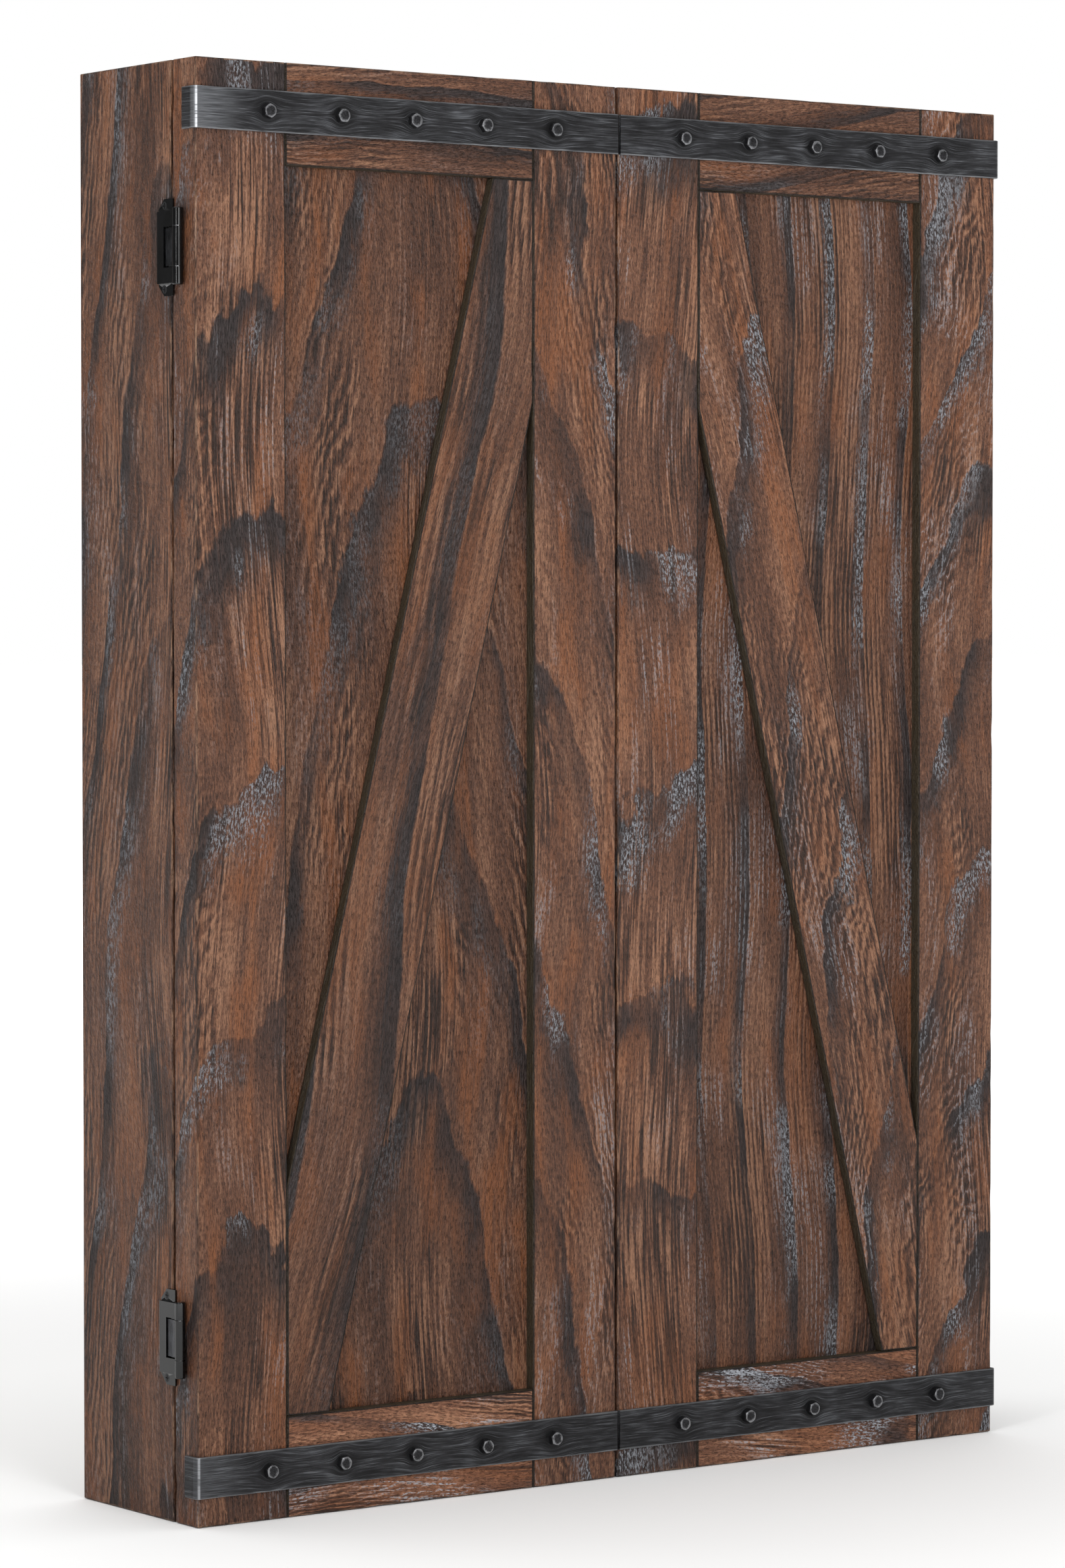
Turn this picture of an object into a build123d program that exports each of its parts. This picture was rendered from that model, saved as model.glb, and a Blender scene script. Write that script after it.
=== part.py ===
from build123d import *

import os
from math import acos, atan2, cos, hypot, sin

# Shallow wall cabinet with two braced, iron-strapped doors on outside hinges.
#
# The origin is the middle of the back, in the plane of the wall.
# +X goes to the right, +Y into the wall and +Z up.  All sizes are millimetres.

# ---- Overall sizes ----
WIDTH = 616.0  # the case, and the pair of closed doors
HEIGHT = 864.0  # the case and the doors
DEPTH = 130.0  # wall to the front of the door frames
DOOR_GAP = 2.5  # closed doors to the case's front edges
MEETING_GAP = 2.0  # between the two closed doors

# ---- Clearances ----
MOVING_CLEAR = 0.3  # between pieces that pass or meet each other
RUNNING_CLEAR = 0.05  # hinge pin in the knuckle that turns on it
HOLE_CLEAR = 0.05  # round fixings in their holes, on the radius
HOLE_END_CLEAR = 0.5  # beyond the end of a fixing in a blind hole
REBATE_CLEAR = 0.5  # back panel to the end of its rebate
SHELF_BACK_CLEAR = 0.5  # shelf to the back panel
PANEL_FLOAT = 1.0  # door panel to the bottom of its groove
TENON_CLEAR = 0.5  # tenon to the bottom of its groove

# ---- Case ----
BOARD = 18.0  # sides, top and bottom
BACK_THICK = 6.0
REBATE_WIDTH = 9.0  # for the back panel, beyond the inner faces
CASE_EASE = 0.6  # chamfer round the outer faces
DOWEL_R = 3.0
DOWEL_IN_SIDE = 11.0
DOWEL_IN_END = 19.0
DOWEL_INSET = 22.0  # from the front and back edges of the top and bottom

# ---- Hanging rails and wall screws ----
HANGER_THICK = 15.0
HANGER_HEIGHT = 60.0
HANGER_DOWEL_INSET = 15.0  # from the rail's upper and lower edges
STUD_SPACING = 406.4  # 16 in, between wall studs
WALL_HOLE_R = 2.75
WALL_HEAD_R = 5.5

# ---- Shelves ----
SHELF_NAMES = ("lower_shelf", "middle_shelf", "upper_shelf")
SHELF_THICK = 15.0
SHELF_SETBACK = 6.0  # from the case's front edges
SHELF_EASE = 0.8
PIN_R = 2.5
PIN_IN_SIDE = 10.0
PIN_LENGTH = 9.0  # inside the case, collar included
PIN_COLLAR_R = 4.0
PIN_COLLAR_THICK = 1.2
PIN_INSET = 18.0  # from the shelf's front and back edges
PIN_HOLE_PITCH = 32.0
PIN_HOLES_EACH_WAY = 2  # spare holes above and below each pin

# ---- Doors ----
DOOR_THICK = 25.0
STILE_WIDTH = 63.0
RAIL_WIDTH = 60.5
PANEL_THICK = 8.0
PANEL_RECESS = 7.0  # panel's front behind the frame's front
GROOVE_DEPTH = 10.0
FRAME_EASE = 0.6  # chamfer that leaves a V at each joint
BRACE_THICK = 7.0
BRACE_WIDTH = 62.0
BRACE_FOOT = 30.0  # of the brace's end that bears on a rail
BRACE_EASE = 0.5

# ---- Iron straps ----
STRAP_WIDTH = 25.0
STRAP_THICK = 2.5
STRAP_INSET = 17.0  # from the top or bottom of the door
STRAP_RETURN = 11.0  # bent back along the door's outer edge
STRAP_BEND_R = 3.0  # outside of the bend
STRAP_INNER_R = 0.5  # inside of the bend, within the frame's chamfer
BOLT_COUNT = 5
BOLT_INSET = 48.9  # end bolts from the door's upright edges
BOLT_ACROSS = 8.0  # across the flats
BOLT_HEAD = 3.8
BOLT_EASE = 0.5
BOLT_R = 2.4
BOLT_LENGTH = 19.0  # below the head
BOLT_TURN = 17.0  # degrees from one head to the next

# ---- Hinges ----
HINGE_INSET = 110.0  # middle of a hinge from the top or bottom
EDGE_CLEAR = 0.6  # knuckles, arms and nose to the door's outer edge
HINGE_SETBACK = 13.5  # pin behind the front of the door frame
KNUCKLE_R = 3.2
KNUCKLE_ROUND = 0.8
MIDDLE_KNUCKLE = 23.4
END_KNUCKLE = 10.7
PIN_SHAFT_R = 1.5
PLATE_HEIGHT = 57.0
PLATE_THICK = 1.6
PLATE_REAR = 10.5  # behind the case's front edge
PLATE_CORNER = 6.0
PLATE_NOSE = 5.0  # in front of the case's front edge
HUMP_HEIGHT = 42.4
HUMP_PROUD = 3.6
HUMP_ROUND = 1.6
WINDOW_REAR = 2.0  # behind the case's front edge
SPRING_THICK = 0.7
SPRING_HEIGHT = 22.0
SPRING_TAIL = 5.0  # held under the hump
SPRING_STRAIGHT = 4.0  # in front of the case's front edge
SPRING_TIP_CLEAR = 0.4  # tip to the door's knuckle
SPRING_RISE = 0.6
DOOR_WING_THICK = 1.8
DOOR_WING_WIDTH = 32.0
DOOR_WING_ROUND = 4.0

# ---- Catches and bumpers ----
CATCH_WIDTH = 76.0
CATCH_HEIGHT = 13.0
CATCH_DEPTH = 16.0
CATCH_SETBACK = 0.5
CATCH_ROUND = 1.5
CATCH_SCREW_X = 33.0
STRIKE_X = 20.0  # magnet and strike from the middle
STRIKE_WIDTH = 22.0
STRIKE_HEIGHT = 11.0
STRIKE_THICK = 1.5
MAGNET_WIDTH = 16.0
MAGNET_HEIGHT = 7.0
MAGNET_DEPTH = 13.0
BUMPER_X = 75.0
BUMPER_R = 4.0
BUMPER_ROUND = 0.8

# ---- Countersunk screws: length, shank radius, head radius ----
BACK_SCREW = (18.0, 1.5, 3.0)
CATCH_SCREW = (25.0, 1.5, 3.0)
STRIKE_SCREW = (14.0, 1.2, 2.4)
PLATE_SCREW = (15.0, 1.25, 2.4)
WING_SCREW = (16.0, 1.4, 2.8)
SLOT_SHARE = 1.5  # length of a cross slot, in head radii
SLOT_WIDTH = 0.6
SLOT_DEPTH = 0.6
BACK_SCREWS_PER_SIDE = 4
BACK_SCREWS_PER_END = 3
PLATE_SCREW_Z = 24.6  # from the middle of the hinge
PLATE_SCREW_INSET = 4.0  # behind the case's front edge
WING_SCREW_X = 20.0  # from the door's outer edge
WING_SCREW_Z = 19.0  # from the middle of the hinge

# ---- Worked out from the sizes above ----
half_width = WIDTH / 2
half_height = HEIGHT / 2
inner_x = half_width - BOARD
inner_z = half_height - BOARD
rebate_x = inner_x + REBATE_WIDTH
rebate_z = inner_z + REBATE_WIDTH
door_front = -DEPTH
door_back = door_front + DOOR_THICK
case_front = door_back + DOOR_GAP
hanger_front = -BACK_THICK - HANGER_THICK
hanger_z = inner_z - HANGER_HEIGHT / 2
shelf_front = case_front + SHELF_SETBACK
shelf_back = -BACK_THICK - SHELF_BACK_CLEAR
shelf_half = inner_x - PIN_COLLAR_THICK - MOVING_CLEAR
panel_front = door_front + PANEL_RECESS
panel_back = panel_front + PANEL_THICK
stile_edge = half_width - STILE_WIDTH
meeting_x = MEETING_GAP / 2
meeting_stile_edge = meeting_x + STILE_WIDTH
door_middle = (half_width + meeting_x) / 2
open_half = (stile_edge - meeting_stile_edge) / 2
open_z = half_height - RAIL_WIDTH
strap_front = door_front - STRAP_THICK
strap_top = half_height - STRAP_INSET
strap_z = strap_top - STRAP_WIDTH / 2
pin_x = half_width + KNUCKLE_R + EDGE_CLEAR
pin_y = door_front + HINGE_SETBACK
hinge_z = half_height - HINGE_INSET
wing_back = door_back + DOOR_WING_THICK
strike_back = door_back + STRIKE_THICK
catch_z = inner_z - CATCH_HEIGHT / 2

FROM_BASE = (Align.CENTER, Align.CENTER, Align.MIN)
OUT = (-1, 0, 0)
IN = (1, 0, 0)
FORWARD = (0, -1, 0)
BACKWARD = (0, 1, 0)
UP = (0, 0, 1)

os.makedirs("parts", exist_ok=True)


def block(x, y, z, mode=Mode.ADD):
    """A box between its limits along X, Y and Z."""
    middle = [(low + high) / 2 for low, high in (x, y, z)]
    with Locations(tuple(middle)):
        Box(x[1] - x[0], y[1] - y[0], z[1] - z[0], mode=mode)


def rods(starts, direction, length, radius, mode=Mode.ADD):
    """Round rods, or holes, from each start along one direction."""
    with Locations([Plane(origin=start, z_dir=direction) for start in starts]):
        Cylinder(radius, length, align=FROM_BASE, mode=mode)


def screws(seats, direction, screw):
    """Countersunk screws with cross slots, their heads flush at the seats."""
    length, radius, head_radius = screw
    rods(seats, direction, length, radius)
    with Locations([Plane(origin=seat, z_dir=direction) for seat in seats]):
        Cone(head_radius, radius, head_radius - radius, align=FROM_BASE)
        slot = SLOT_SHARE * head_radius
        Box(slot, SLOT_WIDTH, SLOT_DEPTH, align=FROM_BASE, mode=Mode.SUBTRACT)
        Box(SLOT_WIDTH, slot, SLOT_DEPTH, align=FROM_BASE, mode=Mode.SUBTRACT)


def screw_holes(seats, direction, screw):
    """Countersunk holes for screws that start at the seats."""
    length, radius, head_radius = screw
    rods(seats, direction, length + HOLE_END_CLEAR, radius + HOLE_CLEAR, Mode.SUBTRACT)
    with Locations([Plane(origin=seat, z_dir=direction) for seat in seats]):
        rim = head_radius + HOLE_CLEAR
        Cone(rim, radius + HOLE_CLEAR, head_radius - radius, align=FROM_BASE, mode=Mode.SUBTRACT)


def ease(piece, axis, size):
    """Chamfer round the two faces of a board that end it along an axis."""
    faces = piece.faces().sort_by(axis)
    chamfer(faces[0].edges() + faces[-1].edges(), size)


def spread(half_length, count):
    """Evenly spaced places along a length centred on zero."""
    pitch = 2 * half_length / count
    return [-half_length + pitch * (step + 0.5) for step in range(count)]


def write(piece, name):
    """Label a finished piece and write its own file."""
    piece.part.label = name
    export_step(piece.part, f"parts/{name}.step")


def write_mirrored(piece, plane, name):
    """Write the mirror image of a finished piece."""
    with BuildPart() as twin:
        mirror(piece.part, about=plane)
    write(twin, name)


def write_pair(piece, name):
    """Write a left-hand piece and its right-hand twin."""
    write(piece, f"left_{name}")
    write_mirrored(piece, Plane.YZ, f"right_{name}")


def write_corners(piece, name):
    """Write an upper left piece and its twins at the other three corners."""
    write_pair(piece, f"upper_{name}")
    with BuildPart() as lower:
        mirror(piece.part, about=Plane.XY)
    write_pair(lower, f"lower_{name}")


# ---- Places shared by several pieces ----
end_board_z = half_height - BOARD / 2
board_dowel_y = (case_front + DOWEL_INSET, -DOWEL_INSET)
board_dowels = [(y, side * end_board_z) for y in board_dowel_y for side in (-1, 1)]
hanger_y = (hanger_front - BACK_THICK) / 2
hanger_dowel_shift = HANGER_HEIGHT / 2 - HANGER_DOWEL_INSET
hanger_dowel_z = [hanger_z - hanger_dowel_shift, hanger_z + hanger_dowel_shift]
hanger_dowels = [(hanger_y, side * z) for side in (-1, 1) for z in hanger_dowel_z]
dowel_places = board_dowels + hanger_dowels

shelf_pitch = (2 * inner_z + SHELF_THICK) / (len(SHELF_NAMES) + 1)
shelf_bases = [-inner_z - SHELF_THICK + shelf_pitch * (step + 1) for step in range(len(SHELF_NAMES))]
pin_columns = (shelf_front + PIN_INSET, shelf_back - PIN_INSET)
pin_places = [(y, base - PIN_R) for y in pin_columns for base in shelf_bases]
hole_steps = range(-PIN_HOLES_EACH_WAY, PIN_HOLES_EACH_WAY + 1)
hole_shifts = [PIN_HOLE_PITCH * step for step in hole_steps]
pin_holes = [(y, z + shift) for y, z in pin_places for shift in hole_shifts]

side_screw_x = inner_x + REBATE_WIDTH / 2
side_screw_z = spread(rebate_z, BACK_SCREWS_PER_SIDE)
end_screw_x = spread(inner_x, BACK_SCREWS_PER_END)
end_screw_z = inner_z + REBATE_WIDTH / 2
back_seats = [(side * side_screw_x, 0, z) for side in (-1, 1) for z in side_screw_z]
back_seats += [(x, 0, side * end_screw_z) for side in (-1, 1) for x in end_screw_x]
back_seats += [(x * STUD_SPACING / 4, 0, side * hanger_z) for side in (-1, 1) for x in (-1, 1)]
wall_seats = [(x * STUD_SPACING / 2, hanger_front, z * hanger_z) for x in (-1, 1) for z in (-1, 1)]

catch_front = case_front + CATCH_SETBACK
catch_screw_y = catch_front + CATCH_DEPTH / 2
catch_seats = [(side * CATCH_SCREW_X, catch_screw_y, inner_z - CATCH_HEIGHT) for side in (-1, 1)]
strike_seats = [(-STRIKE_X, strike_back, side * catch_z) for side in (-1, 1)]
hinge_levels = (-hinge_z, hinge_z)
plate_screw_y = case_front + PLATE_SCREW_INSET
plate_levels = [z + shift for z in hinge_levels for shift in (-PLATE_SCREW_Z, PLATE_SCREW_Z)]
plate_seats = [(-half_width - PLATE_THICK, plate_screw_y, z) for z in plate_levels]
wing_levels = [z + shift for z in hinge_levels for shift in (-WING_SCREW_Z, WING_SCREW_Z)]
wing_seats = [(-half_width + WING_SCREW_X, wing_back, z) for z in wing_levels]
bolt_pitch = (half_width - meeting_x - 2 * BOLT_INSET) / (BOLT_COUNT - 1)
bolt_columns = [-half_width + BOLT_INSET + bolt_pitch * step for step in range(BOLT_COUNT)]
bolt_places = [(x, side * strap_z) for side in (-1, 1) for x in bolt_columns]
bolt_seats = [(x, strap_front, z) for x, z in bolt_places]


def bolt_holes():
    """Holes for the shanks of one door's strap bolts."""
    rods(bolt_seats, BACKWARD, BOLT_LENGTH + HOLE_END_CLEAR, BOLT_R + HOLE_CLEAR, Mode.SUBTRACT)


def end_dowel_holes(places):
    """Dowel holes in both ends of a board that fits between the case's sides."""
    depth = DOWEL_IN_END + HOLE_END_CLEAR
    radius = DOWEL_R + HOLE_CLEAR
    rods([(-inner_x, y, z) for y, z in places], IN, depth, radius, Mode.SUBTRACT)
    rods([(inner_x, y, z) for y, z in places], OUT, depth, radius, Mode.SUBTRACT)


# ---- Case ----
with BuildPart() as case_side:
    block((-half_width, -inner_x), (case_front, 0), (-half_height, half_height))
    chamfer(case_side.faces().sort_by(Axis.X)[0].edges(), CASE_EASE)
    block((-rebate_x, -inner_x), (-BACK_THICK, 0), (-rebate_z, rebate_z), Mode.SUBTRACT)
    dowel_starts = [(-inner_x, y, z) for y, z in dowel_places]
    rods(dowel_starts, OUT, DOWEL_IN_SIDE + HOLE_END_CLEAR, DOWEL_R + HOLE_CLEAR, Mode.SUBTRACT)
    pin_starts = [(-inner_x, y, z) for y, z in pin_holes]
    rods(pin_starts, OUT, PIN_IN_SIDE + HOLE_END_CLEAR, PIN_R + HOLE_CLEAR, Mode.SUBTRACT)
    screw_holes(back_seats, FORWARD, BACK_SCREW)
    screw_holes(plate_seats, IN, PLATE_SCREW)
write_pair(case_side, "case_side")

with BuildPart() as case_top:
    block((-inner_x, inner_x), (case_front, 0), (inner_z, half_height))
    chamfer(case_top.faces().sort_by(Axis.Z)[-1].edges().filter_by(Axis.X), CASE_EASE)
    block((-inner_x, inner_x), (-BACK_THICK, 0), (inner_z, rebate_z), Mode.SUBTRACT)
    end_dowel_holes([(y, end_board_z) for y in board_dowel_y])
    screw_holes(back_seats, FORWARD, BACK_SCREW)
    screw_holes(catch_seats, UP, CATCH_SCREW)
write(case_top, "case_top")
write_mirrored(case_top, Plane.XY, "case_bottom")

with BuildPart() as back_panel:
    panel_x = rebate_x - REBATE_CLEAR
    panel_z = rebate_z - REBATE_CLEAR
    block((-panel_x, panel_x), (-BACK_THICK, 0), (-panel_z, panel_z))
    rods(wall_seats, BACKWARD, HANGER_THICK + BACK_THICK, WALL_HOLE_R, Mode.SUBTRACT)
    screw_holes(back_seats, FORWARD, BACK_SCREW)
write(back_panel, "back_panel")

with BuildPart() as hanging_rail:
    hanger_low = inner_z - HANGER_HEIGHT
    block((-inner_x, inner_x), (hanger_front, -BACK_THICK), (hanger_low, inner_z))
    end_dowel_holes([(hanger_y, z) for z in hanger_dowel_z])
    rods(wall_seats, BACKWARD, HANGER_THICK, WALL_HOLE_R, Mode.SUBTRACT)
    with Locations([Plane(origin=seat, z_dir=BACKWARD) for seat in wall_seats]):
        sink = WALL_HEAD_R - WALL_HOLE_R
        Cone(WALL_HEAD_R, WALL_HOLE_R, sink, align=FROM_BASE, mode=Mode.SUBTRACT)
    screw_holes(back_seats, FORWARD, BACK_SCREW)
write(hanging_rail, "upper_hanging_rail")
write_mirrored(hanging_rail, Plane.XY, "lower_hanging_rail")

for name, base in zip(SHELF_NAMES, shelf_bases):
    with BuildPart() as shelf:
        block((-shelf_half, shelf_half), (shelf_front, shelf_back), (base, base + SHELF_THICK))
        chamfer(shelf.faces().sort_by(Axis.Y)[0].edges().filter_by(Axis.X), SHELF_EASE)
    write(shelf, name)

with BuildPart() as shelf_pins:
    stem_starts = [(-inner_x - PIN_IN_SIDE, y, z) for y, z in pin_places]
    rods(stem_starts, IN, PIN_IN_SIDE + PIN_LENGTH, PIN_R)
    rods([(-inner_x, y, z) for y, z in pin_places], IN, PIN_COLLAR_THICK, PIN_COLLAR_R)
    mirror(about=Plane.YZ)
write(shelf_pins, "shelf_pins")

with BuildPart() as case_dowels:
    dowel_starts = [(-inner_x - DOWEL_IN_SIDE, y, z) for y, z in dowel_places]
    rods(dowel_starts, IN, DOWEL_IN_SIDE + DOWEL_IN_END, DOWEL_R)
    mirror(about=Plane.YZ)
write(case_dowels, "case_dowels")

with BuildPart() as back_screws:
    screws(back_seats, FORWARD, BACK_SCREW)
write(back_screws, "back_screws")

# ---- Catches and bumpers ----
magnet_front = strike_back + MOVING_CLEAR
magnet_y = (magnet_front, magnet_front + MAGNET_DEPTH)
magnet_z = (catch_z - MAGNET_HEIGHT / 2, catch_z + MAGNET_HEIGHT / 2)


def magnets(mode):
    """The two magnets of the upper catch, or the pockets that hold them."""
    for middle in (-STRIKE_X, STRIKE_X):
        block((middle - MAGNET_WIDTH / 2, middle + MAGNET_WIDTH / 2), magnet_y, magnet_z, mode)


with BuildPart() as catch:
    half_catch = CATCH_WIDTH / 2
    catch_y = (catch_front, catch_front + CATCH_DEPTH)
    block((-half_catch, half_catch), catch_y, (inner_z - CATCH_HEIGHT, inner_z))
    fillet(catch.edges().filter_by(Axis.Z), CATCH_ROUND)
    magnets(Mode.SUBTRACT)
    screw_holes(catch_seats, UP, CATCH_SCREW)
write(catch, "upper_catch")
write_mirrored(catch, Plane.XY, "lower_catch")

with BuildPart() as catch_magnets:
    magnets(Mode.ADD)
    mirror(about=Plane.XY)
write(catch_magnets, "catch_magnets")

with BuildPart() as catch_screws:
    screws(catch_seats, UP, CATCH_SCREW)
    mirror(about=Plane.XY)
write(catch_screws, "catch_screws")

with BuildPart() as bumpers:
    bumper_starts = [(x * BUMPER_X, case_front, z * end_board_z) for x in (-1, 1) for z in (-1, 1)]
    rods(bumper_starts, FORWARD, DOOR_GAP - MOVING_CLEAR, BUMPER_R)
    fillet(bumpers.faces().group_by(Axis.Y)[0].edges(), BUMPER_ROUND)
write(bumpers, "door_bumpers")

# ---- Left door, and the right door as its mirror image ----
with BuildPart() as outer_stile:
    block((-half_width, -stile_edge), (door_front, door_back), (-half_height, half_height))
    ease(outer_stile, Axis.Y, FRAME_EASE)
    groove_x = (-stile_edge - GROOVE_DEPTH, -stile_edge)
    block(groove_x, (panel_front, panel_back), (-half_height, half_height), Mode.SUBTRACT)
    bolt_holes()
    screw_holes(wing_seats, FORWARD, WING_SCREW)
write_pair(outer_stile, "outer_stile")

with BuildPart() as inner_stile:
    block((-meeting_stile_edge, -meeting_x), (door_front, door_back), (-half_height, half_height))
    ease(inner_stile, Axis.Y, FRAME_EASE)
    groove_x = (-meeting_stile_edge, -meeting_stile_edge + GROOVE_DEPTH)
    block(groove_x, (panel_front, panel_back), (-half_height, half_height), Mode.SUBTRACT)
    bolt_holes()
    screw_holes(strike_seats, FORWARD, STRIKE_SCREW)
write_pair(inner_stile, "inner_stile")

with BuildPart() as door_rail:
    block((-stile_edge, -meeting_stile_edge), (door_front, door_back), (open_z, half_height))
    ease(door_rail, Axis.Y, FRAME_EASE)
    tenon = GROOVE_DEPTH - TENON_CLEAR
    tenon_x = (-stile_edge - tenon, -meeting_stile_edge + tenon)
    block(tenon_x, (panel_front, panel_back), (open_z + GROOVE_DEPTH, half_height))
    groove_z = (open_z, open_z + GROOVE_DEPTH)
    block((-stile_edge, -meeting_stile_edge), (panel_front, panel_back), groove_z, Mode.SUBTRACT)
    bolt_holes()
write_pair(door_rail, "top_rail")
with BuildPart() as bottom_rail:
    mirror(door_rail.part, about=Plane.XY)
write_pair(bottom_rail, "bottom_rail")

with BuildPart() as door_panel:
    tongue = GROOVE_DEPTH - PANEL_FLOAT
    tongue_x = (-stile_edge - tongue, -meeting_stile_edge + tongue)
    block(tongue_x, (panel_front, panel_back), (-open_z - tongue, open_z + tongue))
write_pair(door_panel, "panel")

# The brace's long edges pass through the end of its foot on each rail, half
# its width to either side of the opening's middle, which sets its lean.
foot_x = open_half - BRACE_FOOT
reach = hypot(foot_x, open_z)
lean = acos(-BRACE_WIDTH / (2 * reach)) - atan2(open_z, foot_x)
heel_z = (open_half * cos(lean) - BRACE_WIDTH / 2) / sin(lean)
brace_half = [(foot_x, open_z), (open_half, open_z), (open_half, heel_z)]
brace_outline = brace_half + [(-x, -z) for x, z in brace_half]
with BuildPart() as brace:
    with BuildSketch(Plane.XZ.offset(-panel_front)):
        with BuildLine():
            Polyline([(x - door_middle, z) for x, z in brace_outline], close=True)
        make_face()
    extrude(amount=BRACE_THICK)
    chamfer(brace.faces().sort_by(Axis.Y)[0].edges(), BRACE_EASE)
write_pair(brace, "brace")

with BuildPart() as strap:
    strap_out = -half_width - STRAP_THICK
    strap_profile = [
        (-meeting_x, strap_front),
        (strap_out, strap_front),
        (strap_out, door_front + STRAP_RETURN),
        (-half_width, door_front + STRAP_RETURN),
        (-half_width, door_front),
        (-meeting_x, door_front),
    ]
    with BuildSketch(Plane.XY.offset(strap_top - STRAP_WIDTH)):
        with BuildLine():
            Polyline(strap_profile, close=True)
        make_face()
    extrude(amount=STRAP_WIDTH)
    uprights = strap.edges().filter_by(Axis.Z)
    outer_bend = uprights.sort_by_distance((strap_out, strap_front, strap_z))[0]
    inner_bend = uprights.sort_by_distance((-half_width, door_front, strap_z))[0]
    fillet(outer_bend, STRAP_BEND_R)
    fillet(inner_bend, STRAP_INNER_R)
    bolt_holes()
write_corners(strap, "strap")

with BuildPart() as strap_bolts:
    with BuildSketch(Plane.XZ.offset(-strap_front)):
        for step, place in enumerate(bolt_places):
            with Locations(place):
                RegularPolygon(BOLT_ACROSS / 2, 6, major_radius=False, rotation=BOLT_TURN * step)
    extrude(amount=BOLT_HEAD)
    chamfer(strap_bolts.faces().group_by(Axis.Y)[0].edges(), BOLT_EASE)
    rods(bolt_seats, BACKWARD, BOLT_LENGTH, BOLT_R)
write_pair(strap_bolts, "strap_bolts")

with BuildPart() as strikes:
    strike_x = (-STRIKE_X - STRIKE_WIDTH / 2, -STRIKE_X + STRIKE_WIDTH / 2)
    strike_z = (catch_z - STRIKE_HEIGHT / 2, catch_z + STRIKE_HEIGHT / 2)
    block(strike_x, (door_back, strike_back), strike_z)
    mirror(about=Plane.XY)
    screw_holes(strike_seats, FORWARD, STRIKE_SCREW)
write_pair(strikes, "strike_plates")

with BuildPart() as strike_screws:
    screws(strike_seats, FORWARD, STRIKE_SCREW)
write_pair(strike_screws, "strike_screws")

# ---- Hinges: the case's half ----
half_middle = MIDDLE_KNUCKLE / 2
half_gap = half_middle + MOVING_CLEAR
half_barrel = half_gap + END_KNUCKLE
window_top = hinge_z + half_gap
window_low = hinge_z - half_gap
hump_out = -half_width - HUMP_PROUD
plate_out = -half_width - PLATE_THICK
nose_in = -half_width - EDGE_CLEAR
spring_in = -half_width - DOOR_WING_THICK - MOVING_CLEAR
spring_out = spring_in - SPRING_THICK
spring_z = (hinge_z - SPRING_HEIGHT / 2, hinge_z + SPRING_HEIGHT / 2)

with BuildPart() as frame_wing:
    knuckle_starts = [(-pin_x, pin_y, hinge_z + half_gap), (-pin_x, pin_y, hinge_z - half_barrel)]
    rods(knuckle_starts, UP, END_KNUCKLE, KNUCKLE_R)
    rims = frame_wing.edges().filter_by(GeomType.CIRCLE).group_by(Axis.Z)
    fillet(rims[0] + rims[-1], KNUCKLE_ROUND)
    # The arms run from behind the case's edge to the knuckles.
    with BuildSketch(Plane.XY.offset(hinge_z - HUMP_HEIGHT / 2)):
        with BuildLine():
            Polyline(
                (-half_width, case_front + PLATE_REAR),
                (hump_out, case_front + PLATE_REAR),
                (hump_out, pin_y),
                (nose_in, pin_y),
                (nose_in, case_front),
                (-half_width, case_front),
                close=True,
            )
        hump = make_face()
        fillet(hump.vertices().sort_by_distance((hump_out, case_front + PLATE_REAR))[0], HUMP_ROUND)
    extrude(amount=HUMP_HEIGHT)
    # A window between the arms shows the closing spring and clears the door's half.
    window_front = pin_y - KNUCKLE_R
    window_rear = case_front + WINDOW_REAR
    block((hump_out, plate_out), (window_front, window_rear), (window_low, window_top), Mode.SUBTRACT)
    block((hump_out, -half_width), (window_front, case_front), (window_low, window_top), Mode.SUBTRACT)
    block((spring_out, spring_in), (window_rear, window_rear + SPRING_TAIL), spring_z, Mode.SUBTRACT)
    with BuildSketch(Plane.YZ.offset(-half_width)) as plate_outline:
        with Locations((case_front + PLATE_REAR / 2, hinge_z)):
            Rectangle(PLATE_REAR, PLATE_HEIGHT)
        chamfer(plate_outline.vertices().group_by(Axis.X)[-1], PLATE_CORNER)
    extrude(amount=-PLATE_THICK)
    # The nose lies over the door's edge above and below the window.
    nose_y = (case_front - PLATE_NOSE, case_front)
    block((plate_out, nose_in), nose_y, (window_top, hinge_z + PLATE_HEIGHT / 2))
    block((plate_out, nose_in), nose_y, (hinge_z - PLATE_HEIGHT / 2, window_low))
    pin_start = [(-pin_x, pin_y, hinge_z - half_barrel)]
    rods(pin_start, UP, 2 * half_barrel, PIN_SHAFT_R, Mode.SUBTRACT)
    screw_holes(plate_seats, IN, PLATE_SCREW)
write_corners(frame_wing, "frame_wing")

with BuildPart() as hinge_pin:
    rods(pin_start, UP, 2 * half_barrel, PIN_SHAFT_R)
write_corners(hinge_pin, "hinge_pin")

with BuildPart() as closing_spring:
    bend_y = case_front - SPRING_STRAIGHT
    tip_y = pin_y + KNUCKLE_R + SPRING_TIP_CLEAR
    with BuildSketch(Plane.XY.offset(spring_z[0])):
        with BuildLine():
            Polyline(
                (spring_in, window_rear + SPRING_TAIL),
                (spring_out, window_rear + SPRING_TAIL),
                (spring_out, bend_y),
                (spring_out - SPRING_RISE, tip_y),
                (spring_in - SPRING_RISE, tip_y),
                (spring_in, bend_y),
                close=True,
            )
        make_face()
    extrude(amount=SPRING_HEIGHT)
write_corners(closing_spring, "closing_spring")

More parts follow.
